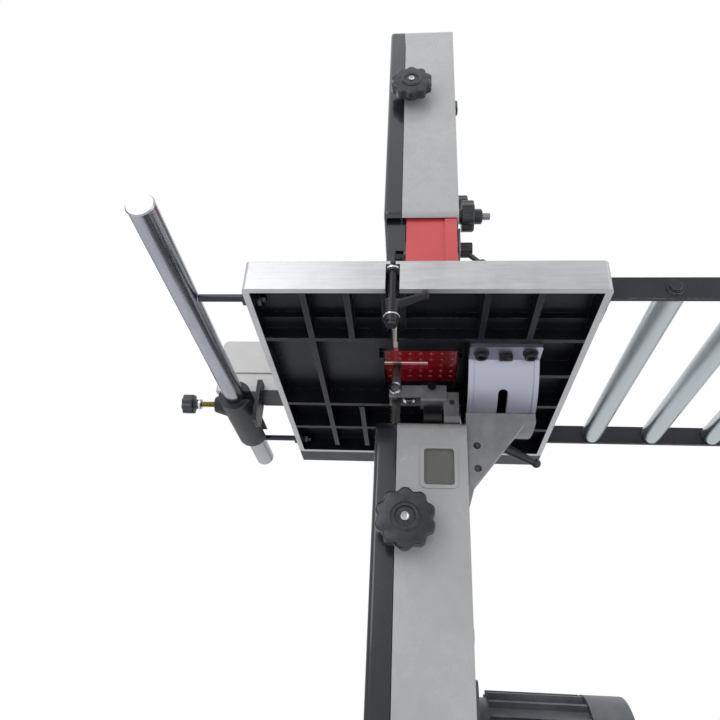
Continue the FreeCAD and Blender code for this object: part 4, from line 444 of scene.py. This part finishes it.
NODE_FINISH = {
    "base_plate": "frame", "cabinet_shell": "cabinet", "cabinet_door": "door",
    "mounting_block": "black_steel",
    "lower_housing": "housing", "upper_housing": "housing", "spine_column": "housing", "blade_cover": "door",
    "door_hinges": "zinc", "lower_door": "door", "upper_door": "door", "lower_door_knob": "knob",
    "upper_door_knob": "knob", "window_pane": "window", "dust_port": "plastic", "frame_bolts": "zinc",
    "lower_wheel": "wheel", "upper_wheel": "wheel", "lower_tyre": "tyre", "upper_tyre": "tyre",
    "lower_axle": "dull_steel", "blade": "blade", "drive_belt": "belt", "motor_pulley": "cast_bare",
    "motor": "motor", "axle_slider": "cast_grey", "tension_spring": "spring", "tension_handwheel": "knob",
    "tracking_knob": "knob", "guide_post": "bright", "post_sleeve": "cast_grey", "blade_guard": "guard",
    "blade_shield": "door", "upper_guide_fork": "cast_dark", "upper_side_guides": "black_steel",
    "upper_thrust_bearing": "chrome", "lower_guide_bracket": "cast_grey", "lower_side_guides": "zinc",
    "lower_thrust_bearing": "chrome", "guide_adjuster": "black_steel", "post_handwheel": "knob",
    "post_lock": "knob", "table": "table", "table_insert": "insert", "table_fasteners": "black_steel",
    "slot_clamp": "black_steel", "trunnion_drum": "drum", "trunnion_bracket": "cast_grey",
    "trunnion_lock": "knob", "fence_rail": "rail", "fence_carrier": "cast_dark", "fence_knob": "knob",
    "fence_beam": "aluminium", "side_bars": "cast_dark", "roller_1": "roller", "roller_2": "roller",
    "roller_3": "roller", "switch_box": "plastic", "start_button": "green", "stop_button": "red",
}


def dress(obj, kind):
    """Give an object one finish on all of its slots."""
    data = obj.data
    for number in range(max(1, len(data.materials))):
        if number < len(data.materials):
            data.materials[number] = finish[kind]
        else:
            data.materials.append(finish[kind])


def cad_object(node):
    """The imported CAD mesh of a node."""
    return bpy.data.objects[node]


for node, kind in NODE_FINISH.items():
    dress(cad_object(node), kind)


# ---------------------------------------------------------------- mesh tools

X_AXIS = Vector((1, 0, 0))
Y_AXIS = Vector((0, 1, 0))
Z_AXIS = Vector((0, 0, 1))
SHARP_DEG = 32.0
WASHER_BREAK = mm(0.4)


def turn_to(axis):
    """Rotation that takes +Z to an axis."""
    return Z_AXIS.rotation_difference(Vector(axis).normalized()).to_matrix().to_4x4()


def finish_mesh(name, bm, kind, body, smooth=35.0):
    """Turn a bmesh into an object on a body, with one finish and smooth shading below an angle."""
    bmesh.ops.remove_doubles(bm, verts=bm.verts, dist=1e-6)
    bmesh.ops.recalc_face_normals(bm, faces=bm.faces)
    limit = math.radians(smooth)
    for face in bm.faces:
        face.smooth = True
    for edge in bm.edges:
        if len(edge.link_faces) == 2:
            edge.smooth = edge.calc_face_angle(0.0) < limit
    data = bpy.data.meshes.new(name)
    bm.to_mesh(data)
    bm.free()
    made = bpy.data.objects.new(name, data)
    bpy.context.scene.collection.objects.link(made)
    data.materials.append(finish[kind])
    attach(made, body)
    return made


def add_spun(bm, profile, at, axis, steps=48):
    """Solid of revolution from (radius, height) pairs, standing at a point along an axis."""
    matrix = Matrix.Translation(at) @ turn_to(axis)
    points = [bm.verts.new((radius, 0.0, height)) for radius, height in profile]
    lines = [bm.edges.new(pair) for pair in zip(points, points[1:])]
    made = bmesh.ops.spin(bm, geom=points + lines, cent=(0, 0, 0), axis=(0, 0, 1), angle=math.tau,
                          steps=steps, use_merge=True)
    linked = set(points)
    linked.update(item for item in made["geom_last"] if isinstance(item, bmesh.types.BMVert))
    front = list(linked)
    while front:
        vert = front.pop()
        for edge in vert.link_edges:
            other = edge.other_vert(vert)
            if other not in linked:
                linked.add(other)
                front.append(other)
    bmesh.ops.transform(bm, matrix=matrix, verts=list(linked))


def add_box(bm, low, high, bevel):
    """Block between two corners, with rounded edges."""
    low, high = Vector(low), Vector(high)
    matrix = Matrix.Translation((low + high) / 2) @ Matrix.Diagonal((*(high - low), 1.0))
    made = bmesh.ops.create_cube(bm, size=1.0, matrix=matrix)
    edges = {edge for vert in made["verts"] for edge in vert.link_edges}
    bmesh.ops.bevel(bm, geom=list(edges), offset=bevel, segments=2, profile=0.5, affect="EDGES",
                    material=-1)


def raise_face(bm, face, rise, bevel, segments):
    """Raise a flat face along a vector into a block and round its far rim."""
    made = bmesh.ops.extrude_face_region(bm, geom=[face], use_keep_orig=True)
    verts = [item for item in made["geom"] if isinstance(item, bmesh.types.BMVert)]
    edges = [item for item in made["geom"] if isinstance(item, bmesh.types.BMEdge)]
    bmesh.ops.translate(bm, vec=Vector(rise), verts=verts)
    bmesh.ops.bevel(bm, geom=edges, offset=bevel, segments=segments, profile=0.5, affect="EDGES",
                    material=-1)


def add_plate(bm, outline, at, axis, height, bevel, segments):
    """Flat outline of (x, y) points in the plane across an axis, raised along that axis."""
    matrix = Matrix.Translation(at) @ turn_to(axis)
    corners = [bm.verts.new(matrix @ Vector((x, y, 0.0))) for x, y in outline]
    rise = turn_to(axis) @ Vector((0, 0, height))
    raise_face(bm, bm.faces.new(corners), rise, bevel, segments)


LOBE_STEPS = 10


def lobed_outline(radius, lobes, depth):
    """Round outline with soft finger hollows."""
    count = lobes * LOBE_STEPS
    points = []
    for i in range(count):
        angle = math.tau * i / count
        wave = 0.5 - 0.5 * math.cos(lobes * angle)
        reach = radius - depth * wave ** 1.6
        points.append((reach * math.cos(angle), reach * math.sin(angle)))
    return points


def add_socket_screw(bm, radius, at, axis, height):
    """Cap screw with a hexagon socket, standing at a point along an axis."""
    rim = radius * 0.12
    profile = [(0.0, height * 0.45), (radius * 0.50, height * 0.45), (radius * 0.56, height * 0.96),
               (radius * 0.62, height), (radius - rim, height), (radius, height - rim), (radius, 0.0),
               (0.0, 0.0)]
    add_spun(bm, profile, at, axis, 24)


def add_washer(bm, radius, height, at, axis, hole=0.0):
    """Washer or disc with broken edges, standing at a point along an axis."""
    brim = radius + WASHER_BREAK
    add_spun(bm, [(hole, 0.0), (radius, 0.0), (brim, WASHER_BREAK), (brim, height - WASHER_BREAK),
                  (radius, height), (hole, height)], at, axis, 32)


def softened(node, kind, edge):
    """Copy of a CAD node with its hard edges broken, shown in the node's place."""
    source = cad_object(node)
    bm = bmesh.new()
    bm.from_mesh(source.data)
    bmesh.ops.remove_doubles(bm, verts=bm.verts, dist=1e-6)
    bmesh.ops.dissolve_limit(bm, angle_limit=math.radians(0.6), use_dissolve_boundaries=False, verts=bm.verts,
                             edges=bm.edges)
    made = finish_mesh(node + "_shown", bm, kind, source["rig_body"], 40.0)
    rounding = made.modifiers.new("edge_break", "BEVEL")
    rounding.limit_method = "ANGLE"
    rounding.angle_limit = math.radians(SHARP_DEG)
    rounding.width = edge
    rounding.segments = 2
    rounding.use_clamp_overlap = True
    rounding.harden_normals = True
    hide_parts(node)


# ---------------------------------------------------------------- stage

CAMERA_AT = (0.9734, -0.0095, 0.5156)
CAMERA_FORWARD = (-0.8606, -0.0813, 0.5027)
CAMERA_ROLL_DEG = 3.24
CAMERA_LENS = 33.06
FLOOR_HALF = 30.0


def place_camera():
    """Low camera on the throat side that looks up at the table and the upper housing."""
    data = bpy.data.cameras.new("camera")
    data.sensor_width = 36.0
    data.lens = CAMERA_LENS
    data.clip_start = 0.02
    made = bpy.data.objects.new("camera", data)
    bpy.context.scene.collection.objects.link(made)
    forward = Vector(CAMERA_FORWARD).normalized()
    right = forward.cross(Z_AXIS).normalized()
    up = right.cross(forward)
    roll = math.radians(CAMERA_ROLL_DEG)
    side = math.cos(roll) * right + math.sin(roll) * up
    top = math.cos(roll) * up - math.sin(roll) * right
    turned = Matrix((side, top, -forward)).transposed().to_4x4()
    made.matrix_world = Matrix.Translation(CAMERA_AT) @ turned
    bpy.context.scene.camera = made


def place_floor():
    """Wide pale floor under the machine."""
    bm = bmesh.new()
    bmesh.ops.create_grid(bm, x_segments=1, y_segments=1, size=FLOOR_HALF)
    data = bpy.data.meshes.new("floor")
    bm.to_mesh(data)
    bm.free()
    made = bpy.data.objects.new("floor", data)
    bpy.context.scene.collection.objects.link(made)
    data.materials.append(new_material("pale_floor", base_color=rgba(0.80, 0.80, 0.80), roughness=0.7)[0])


def area_light(name, at, target, size, power):
    """White rectangular lamp that points at a target."""
    data = bpy.data.lights.new(name, "AREA")
    data.shape = "RECTANGLE"
    data.size, data.size_y = size
    data.energy = power
    made = bpy.data.objects.new(name, data)
    bpy.context.scene.collection.objects.link(made)
    made.location = at
    made.rotation_euler = (Vector(target) - Vector(at)).to_track_quat("-Z", "Y").to_euler()


def place_lights():
    """White surroundings with a broad key, a fill and a rim light."""
    world = bpy.data.worlds.new("studio")
    world.use_nodes = True
    s = Shader(world.node_tree)
    backdrop = world.node_tree.nodes["Background"]
    backdrop.inputs["Color"].default_value = rgba(1.0, 1.0, 1.0)
    backdrop.inputs["Strength"].default_value = 1.0
    direction = s.node("ShaderNodeTexCoord").outputs["Generated"]
    height = s.node("ShaderNodeSeparateXYZ", {0: direction}).outputs["Z"]
    sky = s.node("ShaderNodeBackground", {"Color": rgba(0.97, 0.985, 1.0),
                                          "Strength": s.span(height, -0.1, 0.9, 0.38, 1.25)})
    seen = s.node("ShaderNodeLightPath").outputs["Is Camera Ray"]
    mixed = s.node("ShaderNodeMixShader", {0: seen, 1: sky.outputs[0], 2: backdrop.outputs[0]})
    s.put(world.node_tree.nodes["World Output"].inputs["Surface"], mixed.outputs[0])
    bpy.context.scene.world = world
    bpy.context.scene.view_settings.view_transform = "Standard"
    area_light("key", (2.6, -1.3, 1.9), (0.1, 0.0, 1.0), (1.6, 2.0), 26.0)
    area_light("fill", (1.6, 2.4, 1.6), (0.1, 0.0, 1.0), (1.8, 1.8), 12.0)
    area_light("rim", (-2.2, -2.2, 2.6), (0.0, 0.0, 1.1), (1.6, 1.6), 14.0)


place_camera()
place_floor()
place_lights()


# ---------------------------------------------------------------- frame pieces with broken edges

EDGE_BREAK = {
    "base_plate": 0.8, "cabinet_shell": 1.2, "cabinet_door": 1.2, "mounting_block": 0.8, "lower_housing": 0.9,
    "upper_housing": 0.9, "spine_column": 1.0, "blade_cover": 0.8, "door_hinges": 0.4, "lower_door": 1.2,
    "upper_door": 1.2, "dust_port": 0.5, "frame_bolts": 0.4, "lower_wheel": 0.8, "upper_wheel": 0.8,
    "lower_tyre": 0.5, "upper_tyre": 0.5, "lower_axle": 0.4, "motor_pulley": 0.5, "motor": 0.9,
    "axle_slider": 0.6, "guide_post": 0.6, "post_sleeve": 0.7, "blade_guard": 0.5, "blade_shield": 0.5,
    "upper_guide_fork": 0.8, "upper_side_guides": 0.4, "upper_thrust_bearing": 0.3,
    "lower_guide_bracket": 0.8, "lower_side_guides": 0.4, "lower_thrust_bearing": 0.3, "guide_adjuster": 0.4,
    "table": 1.4, "table_insert": 0.25, "slot_clamp": 0.5, "trunnion_drum": 0.9, "trunnion_bracket": 0.9,
    "fence_rail": 0.8, "fence_carrier": 1.2, "fence_beam": 0.8, "side_bars": 0.7, "roller_1": 0.8,
    "roller_2": 0.8, "roller_3": 0.8, "switch_box": 2.0,
}

for node, width in EDGE_BREAK.items():
    softened(node, NODE_FINISH[node], mm(width))


# ---------------------------------------------------------------- knobs and levers

def middle(node):
    """Centre of a node's box."""
    low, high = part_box(node)
    return (low + high) / 2


LATCH_LOBES = 10
LATCH_RADIUS = mm(35.5)
LATCH_HOLLOW = mm(4.2)
LATCH_HEIGHT = mm(16.0)
LATCH_STANDOFF = mm(20.0)
LATCH_Y = -18.0
LATCH_Z = {"lower": 741.0, "upper": 1500.0}


def make_latch_knob(node, body, centre):
    """Large ten-lobed door knob with a recessed middle and a socket screw."""
    out_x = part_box(node)[1].x
    foot = Vector((out_x - LATCH_STANDOFF, centre.y, centre.z))
    bm = bmesh.new()
    outline = lobed_outline(LATCH_RADIUS, LATCH_LOBES, LATCH_HOLLOW)
    add_plate(bm, outline, foot, X_AXIS, LATCH_HEIGHT, 0.0030, 4)
    add_spun(bm, [(0.0, -0.0005), (0.0170, -0.0005), (0.0170, 0.0170), (0.0150, 0.0192), (0.0120, 0.0192),
                  (0.0108, 0.0172), (0.0, 0.0172)], foot, X_AXIS)
    add_spun(bm, [(0.0, -0.018), (0.0125, -0.018), (0.0150, 0.0004), (0.0, 0.0004)], foot, X_AXIS)
    made = finish_mesh(node + "_grip", bm, "knob", body)
    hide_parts(node)
    bm = bmesh.new()
    add_socket_screw(bm, 0.0052, foot + X_AXIS * 0.0171, X_AXIS, 0.0026)
    finish_mesh(node + "_screw", bm, "chrome", body)


make_latch_knob("lower_door_knob", "lower_latch", spot(0.0, LATCH_Y, LATCH_Z["lower"]))
make_latch_knob("upper_door_knob", "upper_latch", spot(0.0, LATCH_Y, LATCH_Z["upper"]))


REAR_WALL_Y = mm(57.5)
TRACKING_LOBES = 7
TRACKING_RADIUS = mm(24.5)
TRACKING_HOLLOW = mm(3.4)
TRACKING_HEIGHT = mm(20.0)
TRACKING_STANDOFF = mm(14.0)


def make_tracking_knob():
    """Seven-lobed tracking knob with its lock ring and bright screw end."""
    low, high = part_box("tracking_knob")
    at = Vector((0.0, REAR_WALL_Y, middle("tracking_knob").z))
    inward, outward = low.y - REAR_WALL_Y, high.y - REAR_WALL_Y
    bm = bmesh.new()
    outline = lobed_outline(TRACKING_RADIUS, TRACKING_LOBES, TRACKING_HOLLOW)
    add_plate(bm, outline, at + Y_AXIS * TRACKING_STANDOFF, Y_AXIS, TRACKING_HEIGHT, 0.0028, 4)
    add_spun(bm, [(0.0, 0.0), (0.0150, 0.0), (0.0165, 0.003), (0.0165, 0.010), (0.0120, 0.0145),
                  (0.0, 0.0145)], at + Y_AXIS * 0.0008, Y_AXIS)
    made = finish_mesh("tracking_grip", bm, "knob", "tracking_screw")
    bm = bmesh.new()
    add_spun(bm, [(0.0, 0.0), (0.0075, 0.0), (0.0075, outward - 0.0020), (0.0066, outward - 0.0012),
                  (0.0, outward - 0.0012)], at, Y_AXIS)
    finish_mesh("tracking_screw_end", bm, "zinc", "tracking_screw")
    bm = bmesh.new()
    add_spun(bm, [(0.0, inward), (0.006, inward), (0.006, 0.0), (0.0, 0.0)], at, Y_AXIS)
    finish_mesh("tracking_screw_shank", bm, "dull_steel", "tracking_screw")
    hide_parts("tracking_knob")


make_tracking_knob()


FENCE_LOBES = 8
FENCE_KNOB_RADIUS = mm(15.0)
FENCE_KNOB_HOLLOW = mm(1.8)
FENCE_KNOB_HEIGHT = mm(16.5)
FENCE_COLLAR_RISE = mm(22.5)


def make_fence_knob():
    """Small lobed clamp knob with a chrome collar and a plated stud."""
    low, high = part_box("fence_knob")
    at = middle("fence_knob")
    at.y = low.y
    length = high.y - low.y
    bm = bmesh.new()
    outline = lobed_outline(FENCE_KNOB_RADIUS, FENCE_LOBES, FENCE_KNOB_HOLLOW)
    add_plate(bm, outline, at + Y_AXIS * 0.0002, Y_AXIS, FENCE_KNOB_HEIGHT, 0.0022, 3)
    add_spun(bm, [(0.0, 0.0), (0.0085, 0.0), (0.0070, 0.0060), (0.0, 0.0060)], at + Y_AXIS * 0.0160, Y_AXIS)
    made = finish_mesh("fence_knob_grip", bm, "knob", "fence_knob")
    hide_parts("fence_knob")
    start, pitch, root, crest = mm(21.5), mm(1.5), mm(3.7), mm(4.4)
    end = length - 0.0003
    bm = bmesh.new()
    profile = [(0.0, start)]
    for i in range(int((length - mm(24.0)) / pitch)):
        height = start + i * pitch
        profile += [(root, height), (crest, height + pitch / 2)]
    profile += [(root, end), (0.0, end)]
    add_spun(bm, profile, at, Y_AXIS, 24)
    finish_mesh("fence_knob_stud", bm, "brass", "fence_knob")
    bm = bmesh.new()
    add_spun(bm, [(0.0, 0.0), (0.0072, 0.0), (0.0080, 0.0008), (0.0080, 0.0042), (0.0072, 0.0050),
                  (0.0, 0.0050)], at + Y_AXIS * FENCE_COLLAR_RISE, Y_AXIS, 32)
    finish_mesh("fence_knob_collar", bm, "chrome", "fence_knob")


make_fence_knob()


POST_WHEEL_Y = mm(62.5)
POST_WHEEL_LOBES = 7
POST_WHEEL_HOLLOW = mm(3.2)
POST_WHEEL_HEIGHT = mm(19.0)
BLADE_X = mm(175.3)
FLANGE_REACH = mm(98.5)
FLANGE_UNDER_Z = mm(936.0)
FLANGE_SCREW_Y = (mm(72.5), mm(131.5))
POINTER_BOX = (spot(266.0, 94.5, 928.5), spot(272.5, 110.5, 938.5))
POINTER_SCREW = spot(272.4, 102.0, 933.0)


def make_post_controls():
    """Rise and fall knob, and the post lock, behind the upper housing."""
    low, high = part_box("post_handwheel")
    at = middle("post_handwheel")
    at.y = POST_WHEEL_Y
    reach = (high.z - low.z) / 2 - 0.0002
    bm = bmesh.new()
    outline = lobed_outline(reach, POST_WHEEL_LOBES, POST_WHEEL_HOLLOW)
    add_plate(bm, outline, at + Y_AXIS * 0.0005, Y_AXIS, POST_WHEEL_HEIGHT, 0.0026, 4)
    add_spun(bm, [(0.0, 0.0), (0.012, 0.0), (0.012, 0.0335), (0.010, 0.0355), (0.0, 0.0355)],
             at - Y_AXIS * 0.0030, Y_AXIS, 32)
    made = finish_mesh("post_wheel_grip", bm, "knob", "post_drive")
    bm = bmesh.new()
    inner, outer = low.y - at.y, high.y - at.y
    add_spun(bm, [(0.0, inner), (0.0055, inner), (0.0055, outer - 0.001), (0.0047, outer - 0.0002),
                  (0.0, outer - 0.0002)], at, Y_AXIS, 24)
    finish_mesh("post_wheel_shaft", bm, "dull_steel", "post_drive")
    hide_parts("post_handwheel")
    softened("post_lock", "knob", mm(0.8))


def make_flange_bolts():
    """Round socket screws with washers in the trunnion flanges, and the square tilt pointer block."""
    first = True
    for side in (-1, 1):
        for number, y in enumerate(FLANGE_SCREW_Y):
            at = Vector((BLADE_X + side * FLANGE_REACH, y, FLANGE_UNDER_Z))
            bm = bmesh.new()
            add_spun(bm, [(0.0, -0.0002), (0.0092, -0.0002), (0.0094, 0.0004), (0.0094, 0.0012),
                          (0.0090, 0.0016), (0.0, 0.0016)], at, -Z_AXIS, 32)
            add_socket_screw(bm, 0.0079, at - Z_AXIS * 0.0015, -Z_AXIS, 0.0062)
            made = finish_mesh("flange_screw_{}{}".format("left" if side < 0 else "right", number), bm,
                               "black_steel", "table")
            if first:
                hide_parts("table_fasteners")
                first = False
    bm = bmesh.new()
    add_box(bm, *POINTER_BOX, 0.0008)
    add_socket_screw(bm, 0.0032, POINTER_SCREW, X_AXIS, 0.0010)
    finish_mesh("tilt_pointer", bm, "black_steel", "table")


def make_toothed_blade():
    """Band with a row of ground teeth along its front edge."""
    low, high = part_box("blade")
    thickness, pitch = mm(0.7), mm(4.2)
    radius = (high.x - low.x) / 2 - thickness
    centre_low, centre_high = low.z + radius + thickness, high.z - radius - thickness
    straight = centre_high - centre_low
    total = 2 * straight + math.tau * radius
    count = int(total / pitch)
    pitch = total / count

    def station(s):
        """Point and outward direction at a length along the loop."""
        s %= total
        if s < straight:
            return Vector((radius, 0, centre_low + s)), Vector((1, 0, 0))
        s -= straight
        if s < math.pi * radius:
            angle = s / radius
            out = Vector((math.cos(angle), 0, math.sin(angle)))
            return Vector((0, 0, centre_high)) + out * radius, out
        s -= math.pi * radius
        if s < straight:
            return Vector((-radius, 0, centre_high - s)), Vector((-1, 0, 0))
        angle = math.pi + (s - straight) / radius
        out = Vector((math.cos(angle), 0, math.sin(angle)))
        return Vector((0, 0, centre_low)) + out * radius, out

    bm = bmesh.new()
    tip, gullet, back = low.y, low.y + mm(2.4), high.y
    rows = []
    for i in range(count):
        for share, front in ((0.0, tip), (0.12, gullet), (0.55, gullet)):
            at, out = station((i + share) * pitch)
            inner = [bm.verts.new((at.x, y, at.z)) for y in (front, back)]
            far = at + out * thickness
            outer = [bm.verts.new((far.x, y, far.z)) for y in (front, back)]
            rows.append(inner + outer)
    for near, far in zip(rows, rows[1:] + rows[:1]):
        bm.faces.new((near[0], near[1], far[1], far[0]))
        bm.faces.new((near[2], far[2], far[3], near[3]))
        bm.faces.new((near[0], far[0], far[2], near[2]))
        bm.faces.new((near[1], near[3], far[3], far[1]))
    made = finish_mesh("toothed_blade", bm, "blade", "frame", 25.0)
    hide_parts("blade")


make_post_controls()
make_flange_bolts()
make_toothed_blade()
softened("trunnion_lock", "knob", mm(0.8))
softened("tension_handwheel", "knob", mm(1.2))


# ---------------------------------------------------------------- guides, clamp and small hardware

def make_guide_hardware():
    """Knurled adjuster of the lower guides, and a seal on each thrust bearing."""
    low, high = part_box("guide_adjuster")
    at = middle("guide_adjuster")
    at.y = low.y
    bm = bmesh.new()
    teeth, knurl = 26, mm(1.3)
    reach = (high.z - low.z) / 2
    outline = []
    for i in range(teeth * 2):
        angle = math.tau * i / (teeth * 2)
        radius = reach - (0.0 if i % 2 else knurl)
        outline.append((radius * math.cos(angle), radius * math.sin(angle)))
    add_plate(bm, outline, at + Y_AXIS * 0.0006, Y_AXIS, high.y - low.y - 0.0012, 0.0007, 2)
    made = finish_mesh("adjuster_wheel", bm, "black_steel", "guide_adjuster")
    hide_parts("guide_adjuster")
    for name, body, node in (("upper", "upper_thrust", "upper_thrust_bearing"),
                             ("lower", "lower_thrust", "lower_thrust_bearing")):
        at = middle(node)
        at.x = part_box(node)[1].x - 0.0001
        bm = bmesh.new()
        add_spun(bm, [(0.0086, 0.0), (0.0086, 0.0003), (0.0066, 0.0003), (0.0066, 0.0)], at, X_AXIS, 32)
        finish_mesh(name + "_bearing_seal", bm, "plastic", body)


CLAMP_X, CLAMP_Y = mm(392.3), mm(-33.5)
CLAMP_WASHER_RISE = mm(10.5)
CLAMP_HEAD_Z = mm(969.0)


def make_clamp_hardware():
    """Bright washer above the hub of the table slot clamp."""
    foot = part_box("slot_clamp")[0].z + CLAMP_WASHER_RISE
    bm = bmesh.new()
    add_washer(bm, 0.0086, 0.0018, Vector((CLAMP_X, CLAMP_Y, foot)), Z_AXIS, 0.0046)
    finish_mesh("clamp_washer", bm, "chrome", "slot_clamp")


make_guide_hardware()
make_clamp_hardware()


# ---------------------------------------------------------------- screws and trim on the housings

def make_screw_row(name, spots, axis, radius, height, kind, body):
    """Socket screws at several spots, as one piece."""
    bm = bmesh.new()
    for at in spots:
        add_socket_screw(bm, radius, Vector(at), axis, height)
    finish_mesh(name, bm, kind, body)


SWITCH_INSET = mm(7.0)
BRACKET_SCREW_X, BRACKET_SCREW_Y = mm(200.2), mm(70.0)
BRACKET_SCREW_Z = (mm(845.0), mm(815.0))


def make_housing_trim():
    """Screw heads at the switch box's corners and on the trunnion bracket's cheek."""
    low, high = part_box("switch_box")
    corners = [(x, low.y + 0.0002, z) for x in (low.x + SWITCH_INSET, high.x - SWITCH_INSET)
               for z in (low.z + SWITCH_INSET, high.z - SWITCH_INSET)]
    make_screw_row("switch_box_screws", corners, -Y_AXIS, 0.0026, 0.0004, "zinc", "frame")
    cheek = [(BRACKET_SCREW_X, BRACKET_SCREW_Y, z) for z in BRACKET_SCREW_Z]
    make_screw_row("bracket_screws", cheek, X_AXIS, 0.0050, 0.0004, "black_steel", "frame")


make_housing_trim()


# ---------------------------------------------------------------- more hardware on the table side

LIP_BOX = (spot(199.0, 59.0, 881.0), spot(200.2, 144.0, 889.5))
PINCH_DISC = spot(199.9, 14.5, 927.5)
PINCH_SCREW = spot(199.9, 40.0, 905.0)
GUIDE_RING = spot(195.0, -33.5, 927.0)
CARRIER_SCREWS = (spot(63.3, -245.0, 981.5), spot(63.3, -225.0, 981.5))


def make_saddle_lip():
    """Raised lip along the bracket saddle's upper edge, under the drum."""
    bm = bmesh.new()
    add_box(bm, *LIP_BOX, 0.0004)
    finish_mesh("saddle_lip", bm, "drum", "frame")


def make_lower_guide_details():
    """Pinch screws and a bright ring on the lower guide bracket."""
    bm = bmesh.new()
    add_spun(bm, [(0.0, 0.0), (0.0052, 0.0), (0.0056, 0.0004), (0.0056, 0.0014), (0.0, 0.0014)],
             PINCH_DISC, X_AXIS, 32)
    add_socket_screw(bm, 0.0036, PINCH_SCREW, X_AXIS, 0.0012)
    finish_mesh("guide_pinch_screws", bm, "black_steel", "frame")
    bm = bmesh.new()
    add_washer(bm, 0.0080, 0.0030, GUIDE_RING, X_AXIS, 0.0058)
    finish_mesh("guide_ring", bm, "chrome", "frame")


def make_clamp_cap():
    """Bright disc at the head of the table slot clamp."""
    bm = bmesh.new()
    add_washer(bm, 0.0078, 0.0026, Vector((CLAMP_X, CLAMP_Y, CLAMP_HEAD_Z)), Z_AXIS)
    finish_mesh("clamp_top_washer", bm, "chrome", "slot_clamp")


def make_carrier_screws():
    """Chrome screws that hold the fence beam to its carrier."""
    bm = bmesh.new()
    for at in CARRIER_SCREWS:
        add_socket_screw(bm, 0.0042, at, -Z_AXIS, 0.0022)
    finish_mesh("carrier_screws", bm, "chrome", "fence")


make_saddle_lip()
make_lower_guide_details()
make_clamp_cap()
make_carrier_screws()
